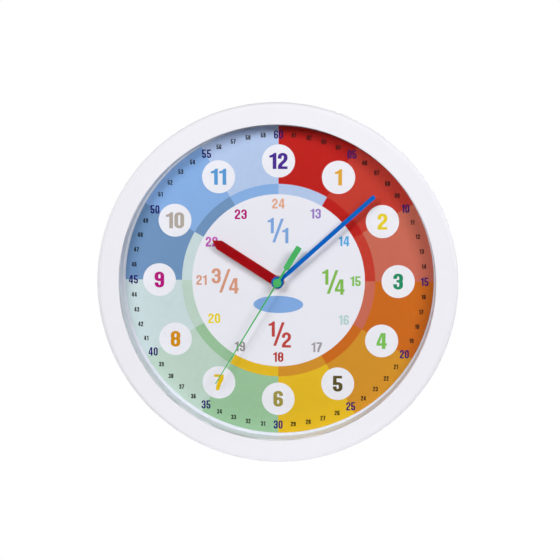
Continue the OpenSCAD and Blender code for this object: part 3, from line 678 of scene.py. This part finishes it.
@dataclass(frozen=True)
class NumeralFace:
    """A condensed numeral face, drawn on a height of one.

    width, stem and bar are a figure's width and the thickness of its upright and its level strokes. bowl
    is the height of a round end, space the gap between figures, waist the height where a three or an eight
    is drawn in, belly the top of the round of a five or a six, and hook, flag and barb the heights of the
    free ends of a two, a one and a three. thinning, least_end and belly_share shape the round ends.
    """

    width: float
    stem: float
    bar: float
    bowl: float = 0.24
    space: float = 0.09
    waist: float = 0.52
    belly: float = 0.6
    hook: float = 0.68
    flag: float = 0.84
    barb: float = 0.34
    thinning: float = 0.75
    least_end: float = 0.08
    belly_share: float = 0.8

    @property
    def mid(self) -> float:
        """Half of a figure's width."""
        return self.width / 2

    @property
    def inner(self) -> float:
        """Height of a counter's round end."""
        return max(self.bowl - self.thinning * self.bar, self.least_end)

    def top(self, pen: Pen) -> Pen:
        """Goes over the outer top, from right to left."""
        return pen.arc((self.mid, 1 - self.bowl), (self.mid, self.bowl), 0, 180)

    def foot(self, pen: Pen) -> Pen:
        """Goes round the outer foot, from left to right."""
        return pen.arc((self.mid, self.bowl), (self.mid, self.bowl), 180, 360)

    def inner_top(self, pen: Pen) -> Pen:
        """Goes over the inner top, from left to right."""
        radii = (self.mid - self.stem, self.inner)
        return pen.arc((self.mid, 1 - self.bar - self.inner), radii, 180, 0)

    def inner_foot(self, pen: Pen) -> Pen:
        """Goes round the inner foot, from right to left."""
        radii = (self.mid - self.stem, self.inner)
        return pen.arc((self.mid, self.bar + self.inner), radii, 0, -180)

    def counter(self, low: float, high: float) -> Loop:
        """Draws a closed counter, clockwise.

        Args:
            low: its lowest point.
            high: its highest point.

        Returns:
            The hole's outline.
        """
        end = min(self.inner, (high - low) * 0.45)
        radii = (self.mid - self.stem, end)
        pen = Pen().arc((self.mid, high - end), radii, 180, 0)
        return pen.arc((self.mid, low + end), radii, 0, -180).points

    def belly_top(self, pen: Pen) -> Pen:
        """Goes over the belly of a five or six, from its right side to the stem's inner edge.

        Args:
            pen: the pen that draws it.

        Returns:
            The pen.
        """
        rise = self.bowl * self.belly_share
        reach = math.degrees(math.acos(self.stem / self.mid - 1))
        return pen.arc((self.mid, self.belly - rise), (self.mid, rise), 0, reach)

    def zero(self) -> list[Loop]:
        """Draws a nought."""
        return [self.top(self.foot(Pen())).points, self.counter(self.bar, 1 - self.bar)]

    def one(self) -> list[Loop]:
        """Draws a one with its flag.

        Returns:
            The outline.
        """
        left, under = 0.34 * self.width, self.flag - 0.85 * self.bar
        right = left + self.stem
        pen = Pen((left, 0), (right, 0), (right, 1), (right - 0.62 * self.stem, 1))
        pen.curve((left, 0.9), (left * 0.6, 0.85), (0, self.flag), 5)
        return [pen.line((0, under), (left, under + 0.02)).points]

    def two(self) -> list[Loop]:
        """Draws a two.

        Returns:
            The outline.
        """
        w, s, t = self.width, self.stem, self.bar
        pen = Pen((0, 0), (w, 0), (w, t), (1.12 * s, t))
        pen.curve((1.2 * s, 0.34), (w, 0.42), (w, self.hook))
        self.top(pen).line((0, self.hook - 0.04), (s, self.hook - 0.04))
        self.inner_top(pen).line((w - s, self.hook))
        return [pen.curve((w - s, 0.5), (0, 0.38), (0, 0.13)).points]

    def three(self) -> list[Loop]:
        """Draws a three.

        Returns:
            The outline.
        """
        w, s, m, half, tongue = self.width, self.stem, self.waist, self.bar * 0.45, self.width * 0.33
        soft = min(0.07, (w - 2 * s) * 0.45)
        pen = self.foot(Pen((0, self.barb))).line((w, m - 0.13))
        pen.curve((w, m - 0.05), (w * 0.96, m - 0.02), (w * 0.9, m))
        pen.curve((w * 0.95, m + 0.02), (w, m + 0.05), (w, m + 0.12))
        self.top(pen).line((0, 1.01 - self.barb), (s, 1.01 - self.barb))
        self.inner_top(pen).arc((w - s - soft, m + half + soft), (soft, soft), 0, -90, 4)
        pen.line((tongue, m + half), (tongue, m - half))
        pen.arc((w - s - soft, m - half - soft), (soft, soft), 90, 0, 4)
        return [self.inner_foot(pen).line((s, self.barb)).points]

    def four(self) -> list[Loop]:
        """Draws a four.

        Returns:
            The outline and its counter.
        """
        w, s, low = self.width * 1.06, self.stem, 0.2
        right = w - 0.13 * self.width
        left, high = right - s, low + self.bar * 0.95
        outer = [(left, 0), (right, 0), (right, low), (w, low), (w, high), (right, high), (right, 1),
                 (left - 0.05, 1), (0, high + 0.01), (0, low), (left, low)]
        return [outer, [(left, high), (0.86 * s, high), (left, 0.78)]]

    def five(self) -> list[Loop]:
        """Draws a five.

        Returns:
            The outline.
        """
        w, s, under, shelf = self.width, self.stem, self.belly - self.bar, 1 - self.bar
        end, barb = min(self.inner, 0.1), self.barb - 0.01
        pen = self.belly_top(self.foot(Pen((0, barb))))
        pen.line((s, shelf), (0.95 * w, shelf), (0.95 * w, 1), (0.03 * w, 1), (0, under - 0.02))
        pen.line((s, under - 0.02)).arc((self.mid, under - end), (self.mid - s, end), 140, 0)
        return [self.inner_foot(pen).line((s, barb)).points]

    def six(self) -> list[Loop]:
        """Draws a six.

        Returns:
            The outline and its counter.
        """
        pen = self.belly_top(self.foot(self.top(Pen((self.width, self.hook)))))
        self.inner_top(pen).line((self.width - self.stem, self.hook))
        return [pen.points, self.counter(self.bar, self.belly - self.bar)]

    def seven(self) -> list[Loop]:
        """Draws a seven.

        Returns:
            The outline.
        """
        w, s, t, foot = self.width, self.stem, self.bar, 0.16 * self.width
        pen = Pen((foot, 0), (foot + s, 0)).curve((0.2 * w + s, 0.35), (w, 0.6), (w, 1 - 1.1 * t))
        pen.line((w, 1), (0, 1), (0, 1 - t), (w - s, 1 - t))
        return [pen.curve((0.42 * w, 0.66), (0.18 * w, 0.34), (foot, 0)).points[:-1]]

    def eight(self) -> list[Loop]:
        """Draws an eight.

        Returns:
            The outline and its two counters.
        """
        w, m, half = self.width, self.waist, self.bar * 0.42
        pen = self.foot(Pen()).line((w, m - 0.13))
        pen.curve((w, m - 0.05), (w * 0.97, m - 0.02), (w * 0.92, m))
        pen.curve((w * 0.96, m + 0.02), (w * 0.98, m + 0.05), (w, m + 0.12))
        self.top(pen).line((0, m + 0.12))
        pen.curve((w * 0.02, m + 0.05), (w * 0.04, m + 0.02), (w * 0.08, m))
        pen.curve((w * 0.03, m - 0.02), (0, m - 0.05), (0, m - 0.13))
        return [pen.points, self.counter(self.bar, m - half), self.counter(m + half, 1 - self.bar)]

    def nine(self) -> list[Loop]:
        """Draws a nine, which is a six turned round."""
        return [[(self.width - x, 1 - y) for x, y in loop] for loop in self.six()]

    def figure(self, digit: str) -> tuple[list[Loop], float]:
        """Draws one figure.

        Args:
            digit: a digit from 0 to 9.

        Returns:
            Its outlines and its width.
        """
        makers = (self.zero, self.one, self.two, self.three, self.four,
                  self.five, self.six, self.seven, self.eight, self.nine)
        loops = makers[int(digit)]()
        return loops, max(x for x, _ in loops[0])

    def write(self, number: str, height: float, centre: Point) -> list[list[Loop]]:
        """Sets a number.

        Args:
            number: its digits.
            height: height of the figures in millimetres.
            centre: the middle of the number.

        Returns:
            The outlines of each figure in turn.
        """
        figures = [self.figure(digit) for digit in number]
        total = sum(width for _, width in figures) + self.space * (len(figures) - 1)
        placed, left = [], -total / 2
        for loops, width in figures:
            placed.append([
                [(centre[0] + (left + x) * height, centre[1] + (y - 0.5) * height) for x, y in loop]
                for loop in loops
            ])
            left += width + self.space
        return placed


class Weight(Enum):
    """The weights that the dial is set in."""

    HOUR = NumeralFace(0.6, 0.23, 0.165)
    DAY = NumeralFace(0.56, 0.2, 0.16, 0.26, 0.1)
    QUARTER = NumeralFace(0.59, 0.2, 0.16, 0.27)
    FIVE = NumeralFace(0.485, 0.178, 0.15, 0.24, 0.09)
    MINUTE = NumeralFace(0.465, 0.2, 0.17, 0.21, 0.09)


@dataclass(frozen=True)
class Quarter:
    """A fraction of the hour: the figures over and under its stroke, its middle on the print and its ink.

    shift is how far the figure below is set off its usual place.
    """

    over: str
    under: str
    middle: Point
    colour: Rgb
    shift: Point = (0.0, 0.0)


@dataclass
class DialPrint:
    """The printed dial: sectors, ring, discs, figures and the blank oval.

    Sizes are millimetres. film is the thickness of a layer of ink, and sink the share of a film by which
    a layer reaches into what it lies on.
    """

    centre: Point = (0.1, 0.7)
    hour_r: float = 100.1
    disc_r: float = 13.8
    ring_in: float = 72.4
    ring_out: float = 81.0
    day_r: float = 64.6
    minute_r: float = 122.1
    hour_h: float = 13.45
    day_h: float = 8.3
    five_h: float = 7.1
    minute_h: float = 4.0
    quarter_h: float = 12.9
    quarter_rise: float = 21.2
    quarter_gap: float = 3.5
    slash_w: float = 2.4
    slash_lean: float = 7.2
    slash_share: float = 0.47
    oval_drop: float = 20.1
    oval_half: Point = (20.9, 7.25)
    film: float = 0.03
    sink: float = 0.2
    edge: float = 0.1
    step: float = 1.5
    white: Rgb = (236, 236, 243)
    black: Rgb = (2, 0, 2)
    violet: Rgb = (24, 10, 98)
    oval_blue: Rgb = (130, 170, 225)
    sectors: tuple[Rgb, ...] = (
        (186, 26, 20), (194, 57, 44), (198, 104, 84), (200, 103, 24), (208, 144, 40), (226, 184, 34),
        (152, 194, 154), (188, 211, 197), (201, 218, 219), (110, 146, 187), (134, 174, 225), (179, 199, 232),
    )
    hour_inks: tuple[Rgb, ...] = (
        (70, 38, 140), (222, 165, 50), (230, 205, 40), (30, 138, 95), (122, 192, 86), (86, 76, 36),
        (155, 145, 65), (230, 190, 20), (208, 138, 6), (178, 10, 122), (175, 165, 155), (86, 152, 210),
    )
    day_inks: tuple[Rgb, ...] = (
        (225, 168, 140), (152, 120, 196), (78, 168, 226), (126, 190, 82), (180, 210, 205), (160, 155, 160),
        (180, 58, 52), (150, 145, 145), (232, 210, 0), (215, 155, 130), (190, 80, 180), (180, 0, 118),
    )
    day_shifts: dict[str, Point] = field(default_factory=lambda: {
        "13": (-1.2, 0.4), "14": (-1.2, 1.2), "16": (-1.0, -0.4), "20": (2.0, 0.0), "23": (0.8, -0.5)})
    five_shifts: dict[str, Point] = field(default_factory=lambda: {"50": (2.2, -2.0), "55": (1.0, 0.0)})
    quarters: tuple[Quarter, ...] = (
        Quarter("1", "1", (-0.3, 42.0), (125, 165, 220)),
        Quarter("1", "4", (45.4, -0.8), (128, 186, 76), (-1.5, 0.0)),
        Quarter("1", "2", (0.6, -45.1), (188, 64, 60), (-1.0, -0.8)),
        Quarter("3", "4", (-44.9, -0.6), (214, 150, 124)),
    )

    def __post_init__(self) -> None:
        """Takes the sheet's face, its radius and the print's place on it from the frame."""
        low, high = (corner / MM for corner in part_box("dial_sheet"))
        self.face = -low.y
        self.sheet_r = (high.x - low.x) / 2 - self.edge
        self.off = (self.centre[0] - (low.x + high.x) / 2, self.centre[1] - (low.z + high.z) / 2)

    def spot(self, radius: float, degrees: float) -> Point:
        """Gives a place on the print."""
        return clockwise(radius, degrees, self.centre)

    def rim_point(self, degrees: float) -> Point:
        """Gives the sheet's edge in a direction from the print's centre.

        Args:
            degrees: angle from twelve o'clock, clockwise.

        Returns:
            The point on the edge.
        """
        dx, dz = clockwise(1.0, degrees)
        along = self.off[0] * dx + self.off[1] * dz
        apart = self.off[0] ** 2 + self.off[1] ** 2
        return self.spot(math.sqrt(along ** 2 - apart + self.sheet_r ** 2) - along, degrees)

    def lay(self, name: str, layer: int, prints: list[tuple[list[Loop], Rgb]]) -> None:
        """Prints one layer of ink.

        Args:
            name: the piece's name.
            layer: how many layers of ink lie under it.
            prints: outlines with holes, and the colour of each.
        """
        colours = list(dict.fromkeys(colour for _, colour in prints))
        low, high = (self.face + films * self.film for films in (layer - self.sink, layer + 1))
        shape = Shape()
        for loops, colour in prints:
            shape.slab(loops, low, high, colours.index(colour))
        inks = [Ink(f"ink_{'_'.join(map(str, colour))}", colour).material() for colour in colours]
        shape.piece(name, "case", inks)

    def ring_part(self, start: float, inner: float, outer: Callable[[float], Point]) -> Loop:
        """Draws a twelfth of a ring, from its first angle, its inner radius and its outer edge by angle."""
        turns = [start + k * self.step for k in range(round(30 / self.step) + 1)]
        return [self.spot(inner, a) for a in turns] + [outer(a) for a in reversed(turns)]

    def grounds(self) -> None:
        """Prints the sectors, the ring that repeats them an hour on, and the white discs."""
        sectors, repeats, discs = [], [], []
        for hour in range(12):
            start = 30.0 * hour
            sectors.append(([self.ring_part(start, self.ring_out, self.rim_point)], self.sectors[hour]))
            repeat = self.ring_part(start, self.ring_in, lambda a: self.spot(self.ring_out, a))
            repeats.append(([repeat], self.sectors[hour - 1]))
            discs.append(([ellipse(self.spot(self.hour_r, start), (self.disc_r, self.disc_r))], self.white))
        self.lay("dial_sectors", 0, sectors)
        self.lay("dial_ring", 0, repeats)
        self.lay("hour_discs", 1, discs)

    def numbers(self, name: str, layer: int, weight: Weight, height: float, radius: float,
                entries: list[tuple[str, float, Rgb]], shifts: dict[str, Point] | None = None) -> None:
        """Prints upright numbers round the dial.

        Args:
            name: the piece's name.
            layer: how many layers of ink lie under it.
            weight: the face they are set in.
            height: height of the figures.
            radius: radius of the circle through their middles.
            entries: each number, its angle and its colour.
            shifts: how far some numbers are set off their circle.
        """
        prints = []
        for number, degrees, colour in entries:
            x, z = self.spot(radius, degrees)
            dx, dz = (shifts or {}).get(number, (0.0, 0.0))
            for loops in weight.value.write(number, height, (x + dx, z + dz)):
                prints.append((loops, colour))
        self.lay(name, layer, prints)

    def figures(self) -> None:
        """Prints the hours, the hours of the afternoon and the minutes."""
        hours = [(str(h or 12), 30.0 * h, self.hour_inks[h]) for h in range(12)]
        days = [(str(12 + (h or 12)), 30.0 * h, self.day_inks[h]) for h in range(12)]
        fives = [(f"{m:02d}", 6.0 * m, self.violet) for m in range(5, 61, 5)]
        minutes = [(f"{m:02d}", 6.0 * m, self.black) for m in range(1, 60) if m % 5]
        self.numbers("hour_numerals", 2, Weight.HOUR, self.hour_h, self.hour_r, hours)
        self.numbers("afternoon_numerals", 0, Weight.DAY, self.day_h, self.day_r, days, self.day_shifts)
        self.numbers("five_minute_numerals", 1, Weight.FIVE, self.five_h, self.minute_r, fives,
                     self.five_shifts)
        self.numbers("minute_numerals", 1, Weight.MINUTE, self.minute_h, self.minute_r, minutes)

    def fraction(self, quarter: Quarter) -> list[list[Loop]]:
        """Sets a fraction with a leaning stroke.

        Args:
            quarter: the fraction.

        Returns:
            The outlines of its three parts.
        """
        face: NumeralFace = Weight.QUARTER.value
        x, z = quarter.middle[0] + self.centre[0], quarter.middle[1] + self.centre[1]
        dx, dz = quarter.shift
        rise = (self.quarter_rise - self.quarter_h) / 2
        left, right = (self.quarter_gap + face.figure(digit)[1] * self.quarter_h / 2
                       for digit in (quarter.over, quarter.under))
        half, tall, lean = self.slash_w / 2, self.quarter_rise * self.slash_share, self.slash_lean / 2
        stroke = [(x - lean - half, z - tall), (x - lean + half, z - tall),
                  (x + lean + half, z + tall), (x + lean - half, z + tall)]
        return (face.write(quarter.over, self.quarter_h, (x - left, z + rise)) + [[stroke]]
                + face.write(quarter.under, self.quarter_h, (x + right + dx, z - rise + dz)))

    def fractions(self) -> None:
        """Prints the four fractions of the hour and the blank oval."""
        prints = [(loops, quarter.colour) for quarter in self.quarters for loops in self.fraction(quarter)]
        self.lay("quarter_fractions", 0, prints)
        oval = ellipse((self.centre[0], self.centre[1] - self.oval_drop), self.oval_half)
        self.lay("blank_oval", 0, [([oval], self.oval_blue)])

    def build(self) -> None:
        """Prints the whole dial."""
        self.grounds()
        self.figures()
        self.fractions()


class Band(IntEnum):
    """The finishes along the cell, in the order of its materials."""

    STEEL = 0
    SLEEVE = 1
    PRINT = 2
    WASHER = 3


@dataclass
class Cell:
    """The AA cell: steel ends, a shrunk sleeve with its bands and its two pole marks.

    Sizes are millimetres. minus_edge and plus_edge are how far from each end the sleeve's crimped edge
    turns in and meets the edge_drop, and film and film_sink how far the print stands out and reaches in.
    """

    nub_l: float = 1.2
    nub_r: float = 2.7
    nub_edge: float = 0.25
    nub_gap: float = 0.4
    plate_r: float = 4.5
    dish: float = 0.35
    crimp: float = 0.7
    edge_drop: float = 0.2
    minus_edge: Point = (0.15, 0.3)
    plus_edge: Point = (0.1, 0.25)
    washer_r: float = 5.9
    band_at: float = 6.0
    band_w: float = 2.6
    line_w: float = 0.7
    mark_at: float = 11.5
    mark_l: float = 3.6
    mark_w: float = 0.8
    mark_steps: int = 3
    film: float = 0.03
    film_sink: float = 0.01
    round_under: float = 40.0

    def __post_init__(self) -> None:
        """Takes the cell's ends, radius and axis from the frame."""
        low, high = (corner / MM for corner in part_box("battery"))
        self.left, self.right = low.x, high.x
        self.radius = (high.z - low.z) / 2
        self.axis = (-(low.y + high.y) / 2, (low.z + high.z) / 2)

    def stations(self) -> list[Station]:
        """Gives the cell's profile.

        Returns:
            x, radius and finish of each band.
        """
        steel, sleeve, light, washer = Band
        left, right, shoulder = self.left, self.right, self.right - self.nub_l
        r = self.radius - self.film
        rim, drop = r - self.crimp, r - self.edge_drop
        bowl, seat = left + self.dish, shoulder - self.dish
        line, band = left + self.band_at, shoulder - self.band_at
        minus, plus = self.minus_edge, self.plus_edge
        return [
            (left, 0, steel), (left, self.plate_r, steel), (bowl, self.plate_r + self.dish, steel),
            (bowl, rim - self.dish, sleeve),
            (left + minus[0], rim, sleeve), (left + minus[1], drop, sleeve), (left + self.crimp, r, sleeve),
            (line, r, light), (line + self.line_w, r, sleeve),
            (band - self.band_w, r, light), (band, r, sleeve),
            (shoulder - self.crimp, r, sleeve), (shoulder - plus[1], drop, sleeve),
            (shoulder - plus[0], rim, sleeve), (seat, self.washer_r, washer),
            (seat, self.nub_r + self.nub_gap, steel), (seat, self.nub_r, steel),
            (right - self.nub_edge, self.nub_r, steel), (right, self.nub_r - self.nub_edge, steel),
            (right, 0, steel),
        ]

    def mark(self, shape: Shape, x: float, crossed: bool) -> None:
        """Prints a pole mark on the sleeve.

        Args:
            shape: the mesh to add to.
            x: the mark's middle.
            crossed: adds the stroke along the cell that makes it a plus.
        """
        radii = (self.radius - self.film - self.film_sink, self.radius)
        half, thin = self.mark_l / 2, self.mark_w / 2
        long, short = (math.degrees(reach / self.radius) for reach in (half, thin))
        shape.strip((x - thin, x + thin), (-long, long), radii, self.axis, Band.PRINT)
        if crossed:
            for ends in ((x - half, x - thin), (x + thin, x + half)):
                shape.strip(ends, (-short, short), radii, self.axis, Band.PRINT, self.mark_steps)

    def build(self) -> None:
        """Builds the cell in place of its solid."""
        shape = Shape()
        shape.turned(self.stations(), self.axis)
        self.mark(shape, self.right - self.nub_l - self.mark_at, True)
        self.mark(shape, self.left + self.mark_at, False)
        finishes = (Metal.STEEL, Sundry.SLEEVE, Sundry.SLEEVE_PRINT, Plastic.WASHER)
        materials = [finish.value.material() for finish in finishes]
        made = shape.piece("aa_cell", "cell", materials, self.round_under)
        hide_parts("battery")


@dataclass
class CaseMarks:
    """The marks moulded on the movement's back: setting arrow, poles, a plain frame and pin marks."""

    rise: float = 0.25
    root: float = 0.05
    arrow_r: float = 7.4
    arrow_w: float = 0.9
    arrow_span: Point = (25.0, 155.0)
    arrow_steps: int = 24
    head_w: float = 2.6
    head_turn: float = 16.0
    frame_low: Point = (-23.5, -4.5)
    frame_high: Point = (8.5, 22.5)
    frame_w: float = 0.6
    frame_r: float = 1.6
    pin_r: float = 1.9
    pin_w: float = 0.35
    pins: tuple[Point, ...] = ((-25.0, 25.0), (25.0, 25.0), (17.0, 14.0))
    pole_in: float = 3.6
    pole_z: float = -8.9
    pole_l: float = 3.2
    pole_w: float = 0.8

    def __post_init__(self) -> None:
        """Takes the case's back, its sides and the knob's middle from the frame."""
        low, high = (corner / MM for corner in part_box("movement_rear_case"))
        self.face = -high.y
        self.left, self.right = low.x, high.x
        knob_low, knob_high = (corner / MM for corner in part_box("set_knob"))
        self.knob = ((knob_low.x + knob_high.x) / 2, (knob_low.z + knob_high.z) / 2)

    def head(self, turn: float, reach: float) -> Loop:
        """Draws a head of the arrow: its outer corner at a turn, its tip a reach on, its inner corner."""
        radii = (self.arrow_r + self.head_w / 2, self.arrow_r, self.arrow_r - self.head_w / 2)
        return [clockwise(r, 90 - a, self.knob) for r, a in zip(radii, (turn, turn + reach, turn))]

    def arrow(self) -> Loop:
        """Draws the two-headed arrow over the setting knob.

        Returns:
            The outline, anticlockwise.
        """
        start, end = self.arrow_span
        inner, outer = self.arrow_r - self.arrow_w / 2, self.arrow_r + self.arrow_w / 2
        pen = Pen().arc(self.knob, (outer, outer), start, end, self.arrow_steps)
        pen.line(*self.head(end, self.head_turn))
        pen.arc(self.knob, (inner, inner), end, start, self.arrow_steps)
        return pen.line(*reversed(self.head(start, -self.head_turn))).points

    def plus(self, x: float) -> Loop:
        """Draws a plus.

        Args:
            x: its middle.

        Returns:
            The outline, anticlockwise.
        """
        half, thin = self.pole_l / 2, self.pole_w / 2
        quarter = [(half, -thin), (half, thin), (thin, thin)]
        points = []
        for _ in range(4):
            points += quarter
            quarter = [(-b, a) for a, b in quarter]
        return [(x + a, self.pole_z + b) for a, b in points]

    def build(self) -> None:
        """Builds the marks as one moulding with the case."""
        minus, half, thin = self.left + self.pole_in, self.pole_l / 2, self.pole_w / 2
        bar = [(minus - half, self.pole_z - thin), (minus + half, self.pole_z - thin),
               (minus + half, self.pole_z + thin), (minus - half, self.pole_z + thin)]
        low, high, wide = self.frame_low, self.frame_high, self.frame_w
        hole = rounded((low[0] + wide, low[1] + wide), (high[0] - wide, high[1] - wide), self.frame_r - wide)
        outlines = [
            [self.arrow()],
            [self.plus(self.right - self.pole_in)],
            [bar],
            [rounded(low, high, self.frame_r), hole[::-1]],
            *(ring(pin, self.pin_r - self.pin_w, self.pin_r) for pin in self.pins),
        ]
        shape = Shape()
        for loops in outlines:
            shape.slab(loops, self.face - self.rise, self.face + self.root)
        shape.piece("movement_case_marks", "case", [Plastic.CASE.value.material()])


@dataclass
class PanMarks:
    """The rings that the mould's pins leave on the back of the pan, between its ribs."""

    floor_t: float = 2.0
    rise: float = 0.15
    root: float = 0.05
    pin_r: float = 3.2
    pin_w: float = 0.5
    circles: tuple[float, ...] = (64.0, 108.0)
    spaces: int = 12

    def __post_init__(self) -> None:
        """Takes the back of the pan's floor from the sheet that lies on the floor."""
        self.face = -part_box("dial_sheet")[1].y / MM - self.floor_t

    def build(self) -> None:
        """Builds the rings, leaving out the one under the hanger."""
        shape = Shape()
        for radius in self.circles:
            for k in range(self.spaces):
                if radius == max(self.circles) and k == 0:
                    continue
                outline = ring(clockwise(radius, 360 * k / self.spaces), self.pin_r - self.pin_w, self.pin_r)
                shape.slab(outline, self.face - self.rise, self.face + self.root)
        shape.piece("pan_pin_marks", "case", [Plastic.PAN.value.material()])


@dataclass
class Nodes:
    """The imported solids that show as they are, with their finishes."""

    objects: dict[str, bpy.types.Object]
    hands: tuple[str, ...] = ("hour_hand", "minute_hand", "second_hand")
    edge_r: float = 0.12
    edge_steps: int = 2

    def dress(self) -> None:
        """Gives every node its finish."""
        for finish, names in NODE_FINISHES.items():
            material = finish.value.material()
            for name in names:
                for slot in self.objects[name].material_slots:
                    slot.material = material
                LOG.info("finished %s with %s", name, material.name)

    def soften_hands(self) -> None:
        """Rounds the stamped edges of the hands."""
        for name in self.hands:
            bevel = self.objects[name].modifiers.new("stamped_edge", "BEVEL")
            bevel.width = self.edge_r * MM
            bevel.segments = self.edge_steps
            bevel.limit_method = "ANGLE"


@dataclass(frozen=True)
class Lamp:
    """A soft lamp round the clock: angles in degrees, distance and sides in metres.

    Its level is about the brightness that it alone gives a white card that faces it.
    """

    name: str
    azimuth: float
    elevation: float
    away: float
    width: float
    height: float
    level: float


@dataclass
class Studio:
    """A pale floor, a white surround, soft lamps and the camera."""

    azimuth: float = 3.88
    elevation: float = 6.31
    roll: float = 0.07
    distance: float = 1.757
    aim: tuple[float, float, float] = (0.0015, -0.0227, 0.0012)
    lens: float = 135.0
    sensor: float = 36.0
    floor_z: float = -0.5
    floor_half: float = 30.0
    floor_colour: Rgb = (228, 228, 230)
    floor_bounce: Rgb = (128, 128, 130)
    near: float = 0.35
    far: float = 0.75
    ambient: float = 0.03
    lamps: tuple[Lamp, ...] = (
        Lamp("left_softbox", -21.0, 24.0, 2.0, 0.9, 0.6, 0.44),
        Lamp("right_softbox", 30.0, 21.0, 2.0, 0.9, 0.5, 0.51),
        Lamp("key_lamp", -18.0, 20.0, 2.0, 0.1, 0.1, 0.08),
        Lamp("left_lamp", -105.0, 10.0, 2.0, 1.0, 1.0, 0.42),
        Lamp("right_lamp", 105.0, 10.0, 2.0, 1.0, 1.0, 0.42),
        Lamp("back_lamp", 165.0, 14.0, 2.2, 1.6, 1.2, 0.68),
        Lamp("low_lamp", 0.0, -97.0, 0.46, 0.9, 0.12, 0.4),
        Lamp("fill_lamp", 0.0, -72.0, 0.33, 0.6, 0.12, 0.26),
    )

    def direction(self, azimuth: float, elevation: float) -> Vector:
        """Gives the unit vector from the clock to a place round it."""
        a, e = math.radians(azimuth), math.radians(elevation)
        return Vector((math.sin(a) * math.cos(e), -math.cos(a) * math.cos(e), math.sin(e)))

    def camera(self) -> None:
        """Sets up the camera."""
        data = bpy.data.cameras.new("camera")
        data.lens = self.lens
        data.sensor_width = self.sensor
        made = bpy.data.objects.new("camera", data)
        bpy.context.scene.collection.objects.link(made)
        back = self.direction(self.azimuth, self.elevation)
        tilt = Matrix.Rotation(math.radians(self.roll), 3, "Z")
        turn = (-back).to_track_quat("-Z", "Y").to_matrix() @ tilt
        made.matrix_world = Matrix.LocRotScale(Vector(self.aim) + back * self.distance, turn, None)
        bpy.context.scene.camera = made

    def hang(self, lamp: Lamp) -> None:
        """Hangs a soft lamp that faces the clock.

        Args:
            lamp: the lamp.
        """
        data = bpy.data.lights.new(lamp.name, "AREA")
        data.shape = "RECTANGLE"
        data.size, data.size_y = lamp.width, lamp.height
        # A flat lamp of P watts gives a white card at d metres a brightness of P / (pi * d) ** 2.
        data.energy = lamp.level * (math.pi * lamp.away) ** 2
        made = bpy.data.objects.new(lamp.name, data)
        made.visible_camera = False
        bpy.context.scene.collection.objects.link(made)
        back = self.direction(lamp.azimuth, lamp.elevation)
        made.matrix_world = Matrix.LocRotScale(back * lamp.away, (-back).to_track_quat("-Z", "Y"), None)
        LOG.info("hung %s", lamp.name)

    def seen_straight(self, graph: Graph) -> Socket:
        """Adds the share of rays that show the surround as plain white.

        Args:
            graph: the node tree to add to.

        Returns:
            One for camera, glossy and transmission rays, and nought for others.
        """
        path = graph.add("ShaderNodeLightPath").outputs
        total = path["Is Camera Ray"]
        for name in ("Is Glossy Ray", "Is Transmission Ray"):
            either = graph.add("ShaderNodeMath", {0: total, 1: path[name]})
            either.operation = "MAXIMUM"
            total = either.outputs["Value"]
        return total

    def surround(self) -> None:
        """Sets a white world that lights the clock softly."""
        world = bpy.data.worlds.new("surround")
        bpy.context.scene.world = world
        graph = Graph(world)
        soft, white = (graph.add("ShaderNodeBackground", {"Color": (1, 1, 1, 1), "Strength": strength})
                       for strength in (self.ambient, 1.0))
        mix = graph.add("ShaderNodeMixShader", {0: self.seen_straight(graph), 1: soft.outputs["Background"],
                                                2: white.outputs["Background"]})
        graph.add("ShaderNodeOutputWorld", {"Surface": mix.outputs["Shader"]})

    def floor(self) -> None:
        """Lays a pale floor that takes the clock's shadow, turns white away from it and throws back little.

        It is clear from underneath, so that the clock can be looked at from there.
        """
        half = self.floor_half
        mesh = bpy.data.meshes.new("floor")
        corners = [(x * half, y * half, self.floor_z) for x, y in ((-1, -1), (1, -1), (1, 1), (-1, 1))]
        mesh.from_pydata(corners, [], [(0, 1, 2, 3)])
        graph = Graph.of_material("dress_floor")
        pale = graph.add("ShaderNodeBsdfDiffuse", {"Color": linear(self.floor_colour)}).outputs["BSDF"]
        white = graph.add("ShaderNodeEmission").outputs["Emission"]
        reach = graph.add("ShaderNodeVectorMath", {0: graph.place})
        reach.operation = "LENGTH"
        low, high = math.hypot(self.near, self.floor_z), math.hypot(self.far, self.floor_z)
        away = graph.spread(reach.outputs["Value"], 0.0, 1.0, low, high)
        seen = graph.add("ShaderNodeMixShader", {0: away, 1: pale, 2: white}).outputs["Shader"]
        dull = graph.add("ShaderNodeBsdfDiffuse", {"Color": linear(self.floor_bounce)}).outputs["BSDF"]
        straight = self.seen_straight(graph)
        laid = graph.add("ShaderNodeMixShader", {0: straight, 1: dull, 2: seen}).outputs["Shader"]
        under = graph.add("ShaderNodeNewGeometry").outputs["Backfacing"]
        clear = graph.add("ShaderNodeBsdfTransparent").outputs["BSDF"]
        one_sided = graph.add("ShaderNodeMixShader", {0: under, 1: laid, 2: clear}).outputs["Shader"]
        mesh.materials.append(graph.finish(one_sided))
        made = bpy.data.objects.new("floor", mesh)
        bpy.context.scene.collection.objects.link(made)

    def build(self) -> None:
        """Sets up the studio."""
        bpy.context.scene.view_settings.view_transform = "Standard"
        self.camera()
        self.surround()
        self.floor()
        for lamp in self.lamps:
            self.hang(lamp)


def main() -> None:
    """Builds the studio and dresses the clock."""
    logging.basicConfig(level=logging.INFO, format="%(message)s")
    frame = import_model()
    Studio().build()
    nodes = Nodes(frame["nodes"])
    nodes.dress()
    nodes.soften_hands()
    DialPrint().build()
    Cell().build()
    CaseMarks().build()
    PanMarks().build()


if __name__ == "__main__":
    main()
